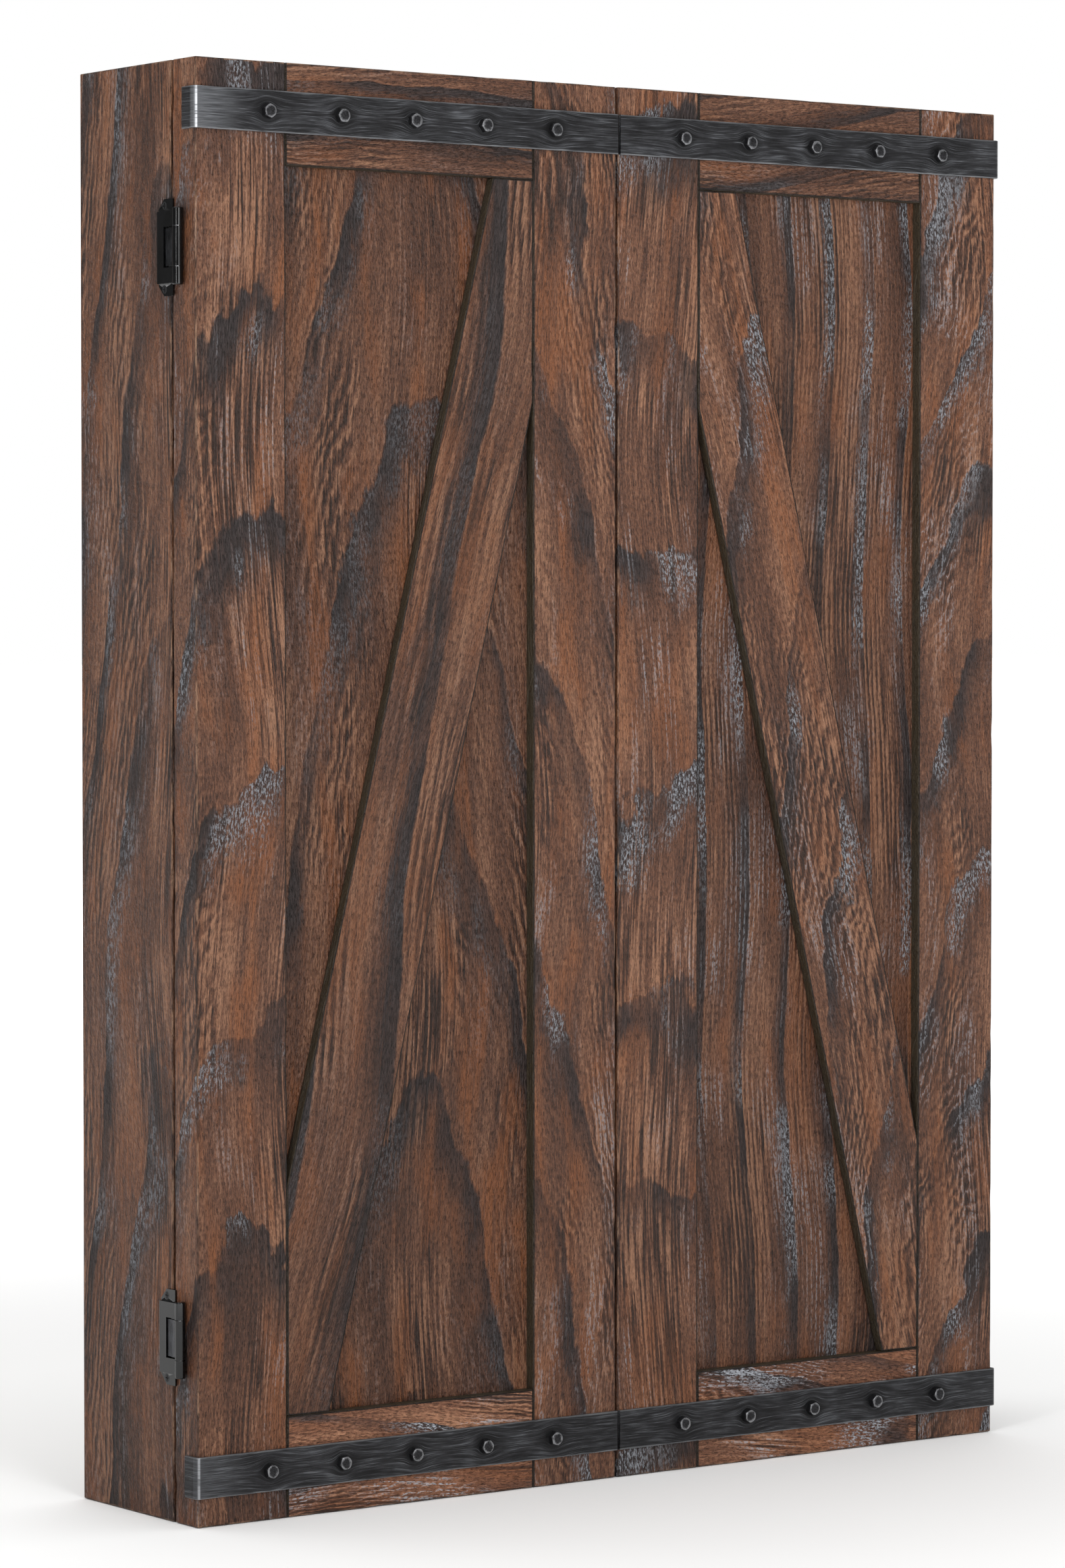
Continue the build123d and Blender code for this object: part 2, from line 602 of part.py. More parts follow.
with BuildPart() as plate_screws:
    screws(plate_seats, IN, PLATE_SCREW)
    mirror(about=Plane.YZ)
write(plate_screws, "frame_wing_screws")

# ---- Hinges: the door's half, wrapped round the back corner of the stile ----
with BuildPart() as door_wing:
    rods([(-pin_x, pin_y, hinge_z - half_middle)], UP, MIDDLE_KNUCKLE, KNUCKLE_R)
    leg_z = (hinge_z - half_middle, hinge_z + half_middle)
    block((-half_width - DOOR_WING_THICK, -half_width), (pin_y, wing_back), leg_z)
    with BuildSketch(Plane.XZ.offset(-door_back)) as wing_outline:
        with Locations((-half_width + DOOR_WING_WIDTH / 2, hinge_z)):
            Rectangle(DOOR_WING_WIDTH, PLATE_HEIGHT)
        fillet(wing_outline.vertices().group_by(Axis.X)[-1], DOOR_WING_ROUND)
    extrude(amount=-DOOR_WING_THICK)
    rods(pin_start, UP, 2 * half_barrel, PIN_SHAFT_R + RUNNING_CLEAR, Mode.SUBTRACT)
    screw_holes(wing_seats, FORWARD, WING_SCREW)
write_corners(door_wing, "door_wing")

with BuildPart() as wing_screws:
    screws(wing_seats, FORWARD, WING_SCREW)
write_pair(wing_screws, "wing_screws")
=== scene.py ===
import math

import bmesh
import bpy
from mathutils import Matrix, Vector, noise


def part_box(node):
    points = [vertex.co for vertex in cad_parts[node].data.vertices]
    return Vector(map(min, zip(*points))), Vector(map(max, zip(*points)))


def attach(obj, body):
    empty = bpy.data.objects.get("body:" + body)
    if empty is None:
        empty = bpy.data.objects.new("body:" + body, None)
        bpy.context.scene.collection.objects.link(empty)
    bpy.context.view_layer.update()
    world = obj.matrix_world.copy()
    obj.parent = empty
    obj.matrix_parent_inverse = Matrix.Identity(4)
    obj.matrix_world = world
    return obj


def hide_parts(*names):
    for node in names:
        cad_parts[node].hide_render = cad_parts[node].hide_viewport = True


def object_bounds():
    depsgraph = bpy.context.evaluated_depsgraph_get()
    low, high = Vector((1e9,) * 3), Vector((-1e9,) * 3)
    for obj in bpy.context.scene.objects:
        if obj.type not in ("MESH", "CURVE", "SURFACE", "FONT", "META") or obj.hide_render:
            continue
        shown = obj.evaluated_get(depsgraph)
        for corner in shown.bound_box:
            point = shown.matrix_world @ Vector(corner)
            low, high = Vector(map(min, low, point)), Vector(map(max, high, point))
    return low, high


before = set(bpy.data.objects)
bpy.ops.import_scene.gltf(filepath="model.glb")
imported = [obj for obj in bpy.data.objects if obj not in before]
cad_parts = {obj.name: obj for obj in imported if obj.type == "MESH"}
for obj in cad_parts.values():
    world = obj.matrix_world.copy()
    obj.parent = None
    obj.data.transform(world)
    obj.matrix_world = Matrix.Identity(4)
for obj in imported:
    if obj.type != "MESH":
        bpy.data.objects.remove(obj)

# Shallow wall cabinet with two braced doors under blackened iron straps.
# Everything is in metres, except where a name or a comment says millimetres.

cad_bounds = [list(corner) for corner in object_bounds()]
MM = 0.001
FLUSH = 0.1 * MM  # two places this close lie in one plane

# ---- Nodes ----


class Wire:
    """A socket of a node tree. Arithmetic on it adds the Math nodes that work it out."""

    def __init__(self, bench, socket):
        self.bench = bench
        self.socket = socket

    def __add__(self, other):
        return self.bench.math("ADD", self, other)

    def __radd__(self, other):
        return self.bench.math("ADD", other, self)

    def __sub__(self, other):
        return self.bench.math("SUBTRACT", self, other)

    def __rsub__(self, other):
        return self.bench.math("SUBTRACT", other, self)

    def __mul__(self, other):
        return self.bench.math("MULTIPLY", self, other)

    def __rmul__(self, other):
        return self.bench.math("MULTIPLY", other, self)

    def __truediv__(self, other):
        return self.bench.math("DIVIDE", self, other)

    def __rtruediv__(self, other):
        return self.bench.math("DIVIDE", other, self)

    def root(self):
        return self.bench.math("SQRT", self)

    def fraction(self):
        return self.bench.math("FRACT", self)

    def size(self):
        """The value without its sign."""
        return self.bench.math("ABSOLUTE", self)

    def least(self, other):
        return self.bench.math("MINIMUM", self, other)

    def most(self, other):
        return self.bench.math("MAXIMUM", self, other)

    def step(self, low, high):
        """From 0 at low to 1 at high, without a kink. Low may be the larger."""
        settings = {"interpolation_type": "SMOOTHSTEP"}
        sockets = {"Value": self, "From Min": low, "From Max": high}
        return self.bench.node("ShaderNodeMapRange", settings, sockets)["Result"]

    def parts(self):
        """The three values of a vector."""
        split = self.bench.node("ShaderNodeSeparateXYZ", {}, {"Vector": self})
        return split["X"], split["Y"], split["Z"]

    def vector_math(self, operation, other):
        settings = {"operation": operation}
        return self.bench.node("ShaderNodeVectorMath", settings, {0: self, 1: other})["Vector"]

    def scaled(self, factor):
        """A colour or vector times one value."""
        settings = {"operation": "SCALE"}
        return self.bench.node("ShaderNodeVectorMath", settings, {0: self, "Scale": factor})["Vector"]


class Bench:
    """A node tree in the making."""

    def __init__(self, tree):
        self.tree = tree
        tree.nodes.clear()

    def node(self, kind, settings, sockets):
        """One node: its settings, then its sockets' values or links, where a list is several links.

        Returns its outputs by name.
        """
        made = self.tree.nodes.new(kind)
        for name, value in settings.items():
            if name == "stops":
                self.set_stops(made.color_ramp.elements, value)
            else:
                setattr(made, name, value)
        for key, value in sockets.items():
            named = [s for s in made.inputs if s.enabled and s.name == key]
            socket = named[0] if named else made.inputs[key]
            if isinstance(value, (Wire, list)):
                for wire in value if isinstance(value, list) else [value]:
                    self.tree.links.new(wire.socket, socket)
            else:
                socket.default_value = value
        return {s.name: Wire(self, s) for s in made.outputs if s.enabled}

    def set_stops(self, elements, stops):
        """A colour ramp's stops, each a place and a colour."""
        while len(elements) < len(stops):
            elements.new(1.0)
        for element, (place, colour) in zip(elements, stops):
            element.position = place
            element.color = colour

    def math(self, operation, *values):
        return self.node("ShaderNodeMath", {"operation": operation}, dict(enumerate(values)))["Value"]

    def vector(self, x=0.0, y=0.0, z=0.0):
        """A vector from its three values."""
        return self.node("ShaderNodeCombineXYZ", {}, {"X": x, "Y": y, "Z": z})["Vector"]

    def mix(self, factor, first, second):
        sockets = {"Factor": factor, "A": first, "B": second}
        return self.node("ShaderNodeMix", {"data_type": "RGBA"}, sockets)["Result"]

    def ramp(self, factor, stops):
        """A colour from a ramp."""
        return self.node("ShaderNodeValToRGB", {"stops": stops}, {"Fac": factor})["Color"]

    def noise(self, place, size, detail=2.0, roughness=0.55):
        """Noise near 0.5, seldom past 0.2 or 0.8. Its features are of about a size, given by direction."""
        stretched = place.vector_math("MULTIPLY", tuple(1 / length for length in size))
        sockets = {"Vector": stretched, "Scale": 1.0, "Detail": detail, "Roughness": roughness}
        return self.node("ShaderNodeTexNoise", {}, sockets)["Fac"]

    def attribute(self, name, output="Fac"):
        return self.node("ShaderNodeAttribute", {"attribute_name": name}, {})[output]

    def here(self, shift=(0, 0, 0), turn=(0, 0, 0)):
        """Object coordinates in millimetres, turned and then shifted for a piece."""
        place = self.node("ShaderNodeTexCoord", {}, {})["Object"]
        sockets = {"Vector": place, "Location": shift, "Rotation": turn, "Scale": (1 / MM,) * 3}
        return self.node("ShaderNodeMapping", {"vector_type": "POINT"}, sockets)["Vector"]

    def finish(self, colour, roughness, relief, depth, constants):
        """The surface: what varies over it, and a bump of the relief times a depth in millimetres."""
        sockets = {"Height": relief, "Distance": depth * MM, "Strength": 1.0}
        normal = self.node("ShaderNodeBump", {}, sockets)["Normal"]
        surface = {"Base Color": colour, "Roughness": roughness, "Normal": normal, **constants}
        shader = self.node("ShaderNodeBsdfPrincipled", {}, surface)["BSDF"]
        self.node("ShaderNodeOutputMaterial", {}, {"Surface": shader})


def ink(red, green, blue):
    """A colour from the 0 to 255 values of a paint chart."""
    shares = [value / 255 for value in (red, green, blue)]
    linear = [((share + 0.055) / 1.055) ** 2.4 if share > 0.04 else share / 12.92 for share in shares]
    return (*linear, 1.0)


def new_finish(name):
    """A material, and the bench that its nodes are made on."""
    material = bpy.data.materials.new(name)
    material.use_nodes = True
    return material, Bench(material.node_tree)


# ---- Wood ----
STAIN = [(0.0, ink(47, 32, 25)), (0.36, ink(75, 49, 37)), (0.62, ink(98, 65, 48)), (1.0, ink(136, 98, 75))]
AMBER = ink(122, 72, 40)
CHAR_DARK, CHAR_LIGHT = ink(30, 25, 25), ink(54, 47, 47)
OPEN_PORE = ink(28, 21, 18)
LIME = ink(136, 139, 145)
ARRIS_DARK, ARRIS_BARE = ink(40, 29, 23), ink(140, 110, 88)
JOINT_SHADOW, JOINT_SIDE = ink(16, 12, 9), ink(58, 49, 36)
SWAY, WANDER, RIPPLE = 42, 34, 12  # how far the rings stray from even curves, in millimetres
RIDGES_PER_RING = 9
NO_JOINT = 99.0  # millimetres to a joint, on a board that has none


def growth_rings(bench, grain, cut, gap):
    """How many rings lie between a point and the tree's heart, and how steeply they meet the face.

    cut is how far the heart lies to one side, how far it lies below the face, and how fast the
    rings close up along the board. gap is the millimetres between two rings.
    """
    heart, height, taper = cut
    across, along, depth = grain.parts()
    unrest = taper * 2.6 + 0.2
    wander = (bench.noise(grain, (60, 120, 60), 1.0) - 0.5) * unrest * WANDER
    ripple = (bench.noise(grain, (10, 22, 10), 3.0) - 0.5) * unrest * RIPPLE
    sideways = across - heart
    below = depth + height
    reach = (sideways * sideways + below * below).root()
    steep = (sideways.size() / reach).step(0.2, 0.5)
    return (reach + along * taper + wander + ripple) / gap, steep


def stained_oak(bench, grain, cut, stain, gap, arris, joint):
    """Wire-brushed oak, stained dark, with limed pores: growth rings cut through on a slant.

    grain holds millimetres across, along and into the board. stain is its tone, its warmth and how
    much lime it holds. arris and joint are millimetres to the nearest edge and the nearest joint.
    """
    tone, warmth, limed = stain
    sway = (bench.noise(grain, (420, 230, 420), 0.0) - 0.5) * SWAY
    grain = grain.vector_math("ADD", bench.vector(sway))
    ring, steep = growth_rings(bench, grain, cut, gap)
    share = ring.fraction()
    fibre = bench.noise(grain, (0.7, 13, 0.7), 2.0)
    rib = bench.noise(grain, (1.8, 60, 1.8), 1.0)
    mottle = bench.noise(grain, (1.4, 2.6, 1.4), 2.0)
    broad = bench.noise(grain, (26, 170, 26), 3.0)

    # Ridges run along the board, and follow the rings where these are steep.
    comb = ring * RIDGES_PER_RING + (fibre - 0.5) * 0.7 + (rib - 0.5) * 0.8
    comb = (comb.fraction() - 0.5).size() * 2
    brushed = bench.noise(grain.vector_math("ADD", (23, 59, 83)), (45, 160, 45)).step(0.46, 0.62)
    ridges = (rib - 0.5) * (1.5 - steep * 0.7) + (comb - 0.5) * steep * 0.34
    ridges = ridges * (0.55 + 2.3 * brushed)
    shade = ridges + (fibre - 0.5) * 0.65 + (mottle - 0.5) * 0.75 + (broad - 0.5) * 1.35
    colour = bench.ramp(shade - share.step(0.25, 1.0) * 0.2 + 0.60, STAIN)
    glow = bench.noise(grain.vector_math("ADD", (17, 71, 53)), (20, 95, 20), 2.0).step(0.48, 0.68)
    colour = bench.mix(glow * warmth * (0.4 + 0.6 * rib.step(0.35, 0.6)), colour, AMBER)

    # The dense end of each ring is charred, with a ragged start and a sharp end.
    ragged = share + (fibre - 0.5) * 0.38 + (rib - 0.5) * 0.34
    bold = bench.noise(grain.vector_math("ADD", (91, 37, 13)), (50, 120, 50), 2.0).step(0.38, 0.58)
    band = ragged.step(0.66, 0.88) * share.step(1.0, 0.97) * (0.25 + 0.75 * bold)
    colour = bench.mix(band * 0.93, colour, bench.mix(fibre.step(0.4, 0.62), CHAR_DARK, CHAR_LIGHT))
    pore = bench.noise(grain, (0.55, 5, 0.55), 1.0).step(0.56, 0.66)
    colour = bench.mix(pore * (0.32 + 0.35 * band), colour, OPEN_PORE)

    # Lime lies as beads along the char, and in streaks on the crests of the ridges.
    bead = bench.noise(grain, (1.2, 3.4, 1.2), 2.0, 0.7).step(0.47, 0.60)
    patch = bench.noise(grain.vector_math("ADD", (5, 43, 29)), (40, 110, 40), 2.0).step(0.50, 0.62)
    rim = ragged.step(0.62, 0.86) * share.step(1.0, 0.975)
    streaked = bench.noise(grain.vector_math("ADD", (61, 19, 7)), (30, 120, 30)).step(0.50, 0.64)
    crest = rib.step(0.55, 0.63).most(comb.step(0.72, 0.92) * steep)
    lime = (rim * bead * patch).most(crest * mottle.step(0.40, 0.55) * streaked * 0.6) * limed
    colour = bench.mix((lime * 0.88).least(1), colour, LIME).scaled(tone)

    rubbed = bench.noise(grain, (9, 24, 9)).step(0.44, 0.62)
    colour = bench.mix(arris.step(1.2, 0.4) * 0.6, colour, bench.mix(rubbed, ARRIS_DARK, ARRIS_BARE))
    colour = bench.mix(joint.step(1.3, 0.8) * 0.92, colour, JOINT_SHADOW)
    colour = bench.mix(joint.step(0.3, 0.05) * 0.9, colour, JOINT_SIDE)
    roughness = 0.50 + (fibre - 0.5) * 0.35 + band * 0.10 + lime * 0.2
    relief = ridges * 0.6 + fibre * 0.25 + mottle * 0.9 - pore * 0.8 - band * 0.45 - lime * 0.1
    bench.finish(colour, roughness, relief, 1.0, {"Specular IOR Level": 0.25})


def oak_of_boards():
    """The oak of the boards made here, which carry their grain and their cut as attributes."""
    material, bench = new_finish("wire_brushed_oak")
    grain, cut, stain = (bench.attribute(name, "Vector") for name in ("grain", "cut", "stain"))
    gap, arris, joint = (bench.attribute(name) for name in ("ring_gap", "arris", "joint"))
    stained_oak(bench, grain, cut.parts(), stain.parts(), gap, arris, joint)
    return material


def edge_distance(bench, node):
    """Millimetres from a point on a box-shaped CAD board to the nearest of its edges."""
    low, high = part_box(node)
    from_middle = bench.here(-(low + high) / 2 / MM).parts()
    first, second, third = (side / 2 / MM - value.size() for side, value in zip(high - low, from_middle))
    return first.least(second).most(first.most(second).least(third))


def oak_of_case(node, turn, cut, stain, gap, start):
    """The oak of a case board from the CAD, which is turned so that its length lies along the grain."""
    material, bench = new_finish(f"oak_{node}")
    low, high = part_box(node)
    middle = turn.to_matrix() @ ((low + high) / 2 / MM)
    grain = bench.here(Vector((0, start, 0)) - middle, turn)
    far = bench.node("ShaderNodeValue", {}, {})["Value"]
    far.socket.default_value = NO_JOINT
    stained_oak(bench, grain, cut, stain, gap, edge_distance(bench, node), far)
    return material


# ---- Boards of the doors ----
EASE = 0.7 * MM
SUPPORT = 1.5 * MM  # rows of faces that keep the shading flat up to the eased edges
CUT_ALONG = 11 * MM
CUT_ACROSS = 4.5 * MM
NICK = 1.1 * MM
NICK_REACH = 1.6 * MM  # over which a nick fades away from its edge
NICKS_PER_METRE = 55
FEWER_NICKS = 0.12
HOLLOW = 0.22 * MM
HOLLOWS_PER_METRE = Vector((90, 0, 22))
INTO_WALL, UPRIGHT, LEVEL = Vector((0, 1, 0)), Vector((0, 0, 1)), Vector((1, 0, 0))
LEFT, TOP, RIGHT, BOTTOM = range(4)

# Each board's cut (heart, height, taper), stain (tone, warmth, limed), ring gap and start.
BOARD_LOOKS = {
    "left_outer_stile": ((34, 140, 0.34), (0.92, 0.75, 0.85), 48, 1258),
    "left_inner_stile": ((-52, 60, 0.20), (0.97, 0.6, 0.95), 36, 2640),
    "left_top_rail": ((60, 30, 0.10), (0.84, 0.5, 0.2), 30, 3905),
    "left_bottom_rail": ((8, 26, 0.06), (1.40, 0.3, 1.5), 17, 5300),
    "left_panel": ((8, 56, 0.20), (0.77, 0.8, 0.3), 42, 6410),
    "left_brace": ((-70, 30, 0.06), (0.80, 0.5, 0.15), 52, 7230),
    "right_outer_stile": ((46, 80, 0.30), (1.0, 0.5, 0.95), 38, 8770),
    "right_inner_stile": ((6, 150, 0.34), (1.0, 0.5, 1.0), 46, 9560),
    "right_top_rail": ((-70, 24, 0.08), (0.84, 0.55, 0.25), 28, 10080),
    "right_bottom_rail": ((20, 40, 0.09), (1.34, 0.35, 1.5), 19, 11480),
    "right_panel": ((-170, 14, 0.01), (0.84, 0.5, 1.0), 32, 12690),
    "right_brace": ((50, 64, 0.22), (1.0, 0.6, 1.0), 34, 13150),
}

oak = oak_of_boards()


def new_piece(name, bm, material):
    """A finished mesh as an object at the origin."""
    mesh = bpy.data.meshes.new(name)
    bm.to_mesh(mesh)
    bm.free()
    mesh.materials.append(material)
    mesh.shade_smooth()
    piece = bpy.data.objects.new(name, mesh)
    bpy.context.scene.collection.objects.link(piece)
    return piece


def add_attribute(piece, name, kind, values):
    """A value or a vector for each vertex."""
    attribute = piece.data.attributes.new(name, kind, "POINT")
    field = "value" if kind == "FLOAT" else "vector"
    flat = values if kind == "FLOAT" else [number for value in values for number in value]
    attribute.data.foreach_set(field, flat)


def eased_slab(outline, front, back):
    """A flat board with rounded edges. Its outline is seen from the front, in X and Z."""
    bm = bmesh.new()
    fronts = [bm.verts.new((x, front, z)) for x, z in outline]
    backs = [bm.verts.new((x, back, z)) for x, z in outline]
    bm.faces.new(fronts)
    bm.faces.new(backs[::-1])
    for step in range(len(outline)):
        bm.faces.new((fronts[step], fronts[step - 1], backs[step - 1], backs[step]))
    bmesh.ops.recalc_face_normals(bm, faces=bm.faces)
    bmesh.ops.bevel(bm, geom=bm.edges[:], offset=EASE, segments=2, profile=0.5, affect="EDGES")
    return bm


def edge_lines(corners):
    """For each edge of an outline, the direction into the board and the edge's place along it."""
    middle = sum(corners, Vector()) / len(corners)
    lines = []
    for corner, following in zip(corners, corners[1:] + corners[:1]):
        run = (following - corner).normalized()
        inward = Vector((-run.z, 0, run.x))
        if inward.dot(middle - corner) < 0:
            inward.negate()
        lines.append((inward, inward.dot(corner)))
    return lines


def cut_rows(bm, direction, places):
    """Cuts a mesh across a direction at each place along it."""
    for place in places:
        geometry = bm.verts[:] + bm.edges[:] + bm.faces[:]
        bmesh.ops.bisect_plane(bm, geom=geometry, dist=1e-7, plane_co=direction * place, plane_no=direction)


def cut_evenly(bm, direction, corners, pitch):
    """Cuts a board into equal rows across a direction, about a pitch wide."""
    reach = [direction.dot(corner) for corner in corners]
    low, span = min(reach), max(reach) - min(reach)
    count = round(span / pitch)
    cut_rows(bm, direction, [low + span * step / count for step in range(1, count)])


def worn_board(name, outline, depths, along, joints, look):
    """A board with eased, slightly nicked edges, which carries its grain. joints are edges by number."""
    front, back = depths
    bm = eased_slab(outline, front, back)
    corners = [Vector((x, 0, z)) for x, z in outline]
    middle = sum(corners, Vector()) / len(corners)
    lines = edge_lines(corners)
    side = INTO_WALL.cross(along)
    for inward, place in lines:
        cut_rows(bm, inward, [place + SUPPORT])
    cut_rows(bm, INTO_WALL, [front + SUPPORT, (front + back) / 2, back - SUPPORT])
    cut_evenly(bm, along, corners, CUT_ALONG)
    cut_evenly(bm, side, corners, CUT_ACROSS)

    cut, stain, gap, start = look
    grains, arrises, joint_distances = [], [], []
    for vert in bm.verts:
        place = vert.co.copy()
        off = place - middle
        grains.append((side.dot(off) / MM, along.dot(off) / MM + start, (place.y - front) / MM))
        distances = [inward.dot(place) - offset for inward, offset in lines]
        face = min(place.y - front, back - place.y)
        arris = max(min(distances), 0, face)
        arrises.append(arris / MM)
        joint_distances.append(max(min([distances[step] for step in joints], default=NO_JOINT * MM), 0) / MM)
        nearest = lines[distances.index(min(distances))][0]
        roughly = max(noise.noise(place * NICKS_PER_METRE) - FEWER_NICKS, 0)
        bite = roughly * NICK * math.exp(-arris / NICK_REACH)
        waves = Vector((place.x * HOLLOWS_PER_METRE.x, 7, place.z * HOLLOWS_PER_METRE.z))
        hollow = (0.5 + 0.5 * noise.noise(waves)) * HOLLOW if face < 0.05 * MM else 0
        inwards = 1 if place.y < (front + back) / 2 else -1
        vert.co = place + nearest * bite + INTO_WALL * inwards * (bite + hollow)
    piece = new_piece(name, bm, oak)
    count = len(piece.data.vertices)
    add_attribute(piece, "grain", "FLOAT_VECTOR", grains)
    add_attribute(piece, "cut", "FLOAT_VECTOR", [cut] * count)
    add_attribute(piece, "stain", "FLOAT_VECTOR", [stain] * count)
    add_attribute(piece, "ring_gap", "FLOAT", [gap] * count)
    add_attribute(piece, "arris", "FLOAT", arrises)
    add_attribute(piece, "joint", "FLOAT", joint_distances)
    return piece


def rectangle(x, z):
    """A board's outline, with its left, top, right and bottom edges in turn."""
    return [(x[0], z[0]), (x[0], z[1]), (x[1], z[1]), (x[1], z[0])]


def back_outline(node):
    """The corners of a CAD board's flat back, in order round it."""
    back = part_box(node)[1].y
    flat = [vert.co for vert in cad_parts[node].data.vertices if vert.co.y > back - FLUSH]
    corners = {(round(place.x, 5), round(place.z, 5)) for place in flat}
    x = sum(corner[0] for corner in corners) / len(corners)
    z = sum(corner[1] for corner in corners) / len(corners)
    return sorted(corners, key=lambda corner: math.atan2(corner[1] - z, corner[0] - x))


def make_board(name, outline, depths, along, joints):
    """One board of a door, in place of its CAD node."""
    board = worn_board(f"{name}_board", outline, depths, along, joints, BOARD_LOOKS[name])
    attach(board, f"{name.split('_')[0]}_door")
    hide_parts(name)


def make_brace(name):
    """The brace, whose grain runs along its longest edge."""
    corners = back_outline(name)
    runs = [Vector((b[0] - a[0], 0, b[1] - a[1])) for a, b in zip(corners, corners[1:] + corners[:1])]
    lean = max((run for run in runs if abs(run.x) > 1 * MM), key=lambda run: run.length).normalized()
    low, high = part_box(name)
    make_board(name, corners, (low.y, high.y), lean if lean.z > 0 else -lean, range(len(corners)))


def make_door(door):
    """A door's two stiles, two rails, panel and brace."""
    outer_low, outer_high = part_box(f"{door}_outer_stile")
    inner_low, inner_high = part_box(f"{door}_inner_stile")
    panel_low, panel_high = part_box(f"{door}_panel")
    rail_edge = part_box(f"{door}_bottom_rail")[1].z
    depths = (outer_low.y, outer_high.y)
    heights = (outer_low.z, outer_high.z)
    opening = (outer_high.x, inner_low.x) if door == "left" else (inner_high.x, outer_low.x)
    outer_joint, inner_joint = (RIGHT, LEFT) if door == "left" else (LEFT, RIGHT)
    outer_outline = rectangle((outer_low.x, outer_high.x), heights)
    inner_outline = rectangle((inner_low.x, inner_high.x), heights)
    make_board(f"{door}_outer_stile", outer_outline, depths, UPRIGHT, [outer_joint])
    make_board(f"{door}_inner_stile", inner_outline, depths, UPRIGHT, [inner_joint])
    top_outline = rectangle(opening, (-rail_edge, heights[1]))
    bottom_outline = rectangle(opening, (heights[0], rail_edge))
    make_board(f"{door}_top_rail", top_outline, depths, LEVEL, [LEFT, RIGHT, BOTTOM])
    make_board(f"{door}_bottom_rail", bottom_outline, depths, LEVEL, [LEFT, TOP, RIGHT])
    tucked = rectangle((opening[0] - MM, opening[1] + MM), (rail_edge - MM, -rail_edge + MM))
    make_board(f"{door}_panel", tucked, (panel_low.y, panel_high.y), UPRIGHT, [])
    make_brace(f"{door}_brace")


for door in ("left", "right"):
    make_door(door)

# ---- Boards of the case ----
LENGTH_UP = Matrix(((0, 1, 0), (0, 0, 1), (1, 0, 0))).to_euler()
LENGTH_LEVEL = Matrix(((0, -1, 0), (1, 0, 0), (0, 0, 1))).to_euler()
LENGTH_LEVEL_ON_EDGE = Matrix(((0, 0, 1), (1, 0, 0), (0, 1, 0))).to_euler()

# Each case board's turn, cut, stain, ring gap and start.
CASE_LOOKS = {
    "left_case_side": (LENGTH_UP, (-44, 60, 0.13), (0.88, 0.6, 0.75), 34, 1340),
    "right_case_side": (LENGTH_UP, (-30, 62, 0.14), (0.92, 0.5, 0.8), 32, 2820),
    "case_top": (LENGTH_LEVEL, (20, 40, 0.08), (0.98, 0.45, 0.5), 24, 3150),
    "case_bottom": (LENGTH_LEVEL, (-20, 55, 0.10), (0.98, 0.4, 0.5), 22, 4640),
    "lower_shelf": (LENGTH_LEVEL, (20, 46, 0.09), (1.05, 0.35, 0.3), 20, 5480),
    "middle_shelf": (LENGTH_LEVEL, (-30, 34, 0.07), (1.05, 0.35, 0.3), 21, 6910),
    "upper_shelf": (LENGTH_LEVEL, (10, 60, 0.11), (1.05, 0.35, 0.3), 23, 7260),
    "lower_hanging_rail": (LENGTH_LEVEL_ON_EDGE, (30, 40, 0.08), (1.0, 0.35, 0.3), 20, 8700),
    "upper_hanging_rail": (LENGTH_LEVEL_ON_EDGE, (-20, 52, 0.10), (1.0, 0.35, 0.3), 22, 9120),
}


def lay_finish(node, material):
    """Gives a CAD node one of the finishes made here."""
    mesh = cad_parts[node].data
    mesh.materials.clear()
    mesh.materials.append(material)
    for polygon in mesh.polygons:
        polygon.material_index = 0


for node, look in CASE_LOOKS.items():
    lay_finish(node, oak_of_case(node, *look))

# ---- Plain finishes ----
BACK_STAIN = [(0.3, ink(74, 56, 44)), (0.5, ink(101, 79, 62)), (0.72, ink(124, 99, 78))]
LINE_DEPTH = 0.02  # of the lines in drawn metal, in millimetres


def matt_back_board():
    """A thin stained board, its grain closed by the stain."""
    material, bench = new_finish("matt_back_board")
    grain = bench.here(turn=LENGTH_LEVEL_ON_EDGE)
    fibre = bench.noise(grain, (0.9, 26, 2))
    cloud = bench.noise(grain, (60, 240, 60), 3.0)
    pore = bench.noise(grain, (0.5, 5, 2), 1.0).step(0.58, 0.68)
    colour = bench.ramp(fibre * 0.6 + cloud * 0.4, BACK_STAIN)
    colour = bench.mix(pore * 0.5, colour, ink(52, 39, 31))
    bench.finish(colour, 0.72 + (fibre - 0.5) * 0.2, fibre - pore * 0.5, 0.12, {"Specular IOR Level": 0.3})
    return material


def turned_beech():
    """Pale dowels with short dark flecks."""
    material, bench = new_finish("turned_beech")
    grain = bench.here(turn=LENGTH_LEVEL)
    fibre = bench.noise(grain, (0.5, 12, 0.5))
    fleck = bench.noise(grain, (0.35, 2.5, 0.35), 1.0).step(0.60, 0.68)
    colour = bench.mix(fibre.step(0.3, 0.7), ink(184, 148, 112), ink(214, 182, 146))
    colour = bench.mix(fleck * 0.5, colour, ink(140, 100, 68))
    bench.finish(colour, 0.6 + (fibre - 0.5) * 0.2, fibre - fleck, 0.06, {})
    return material


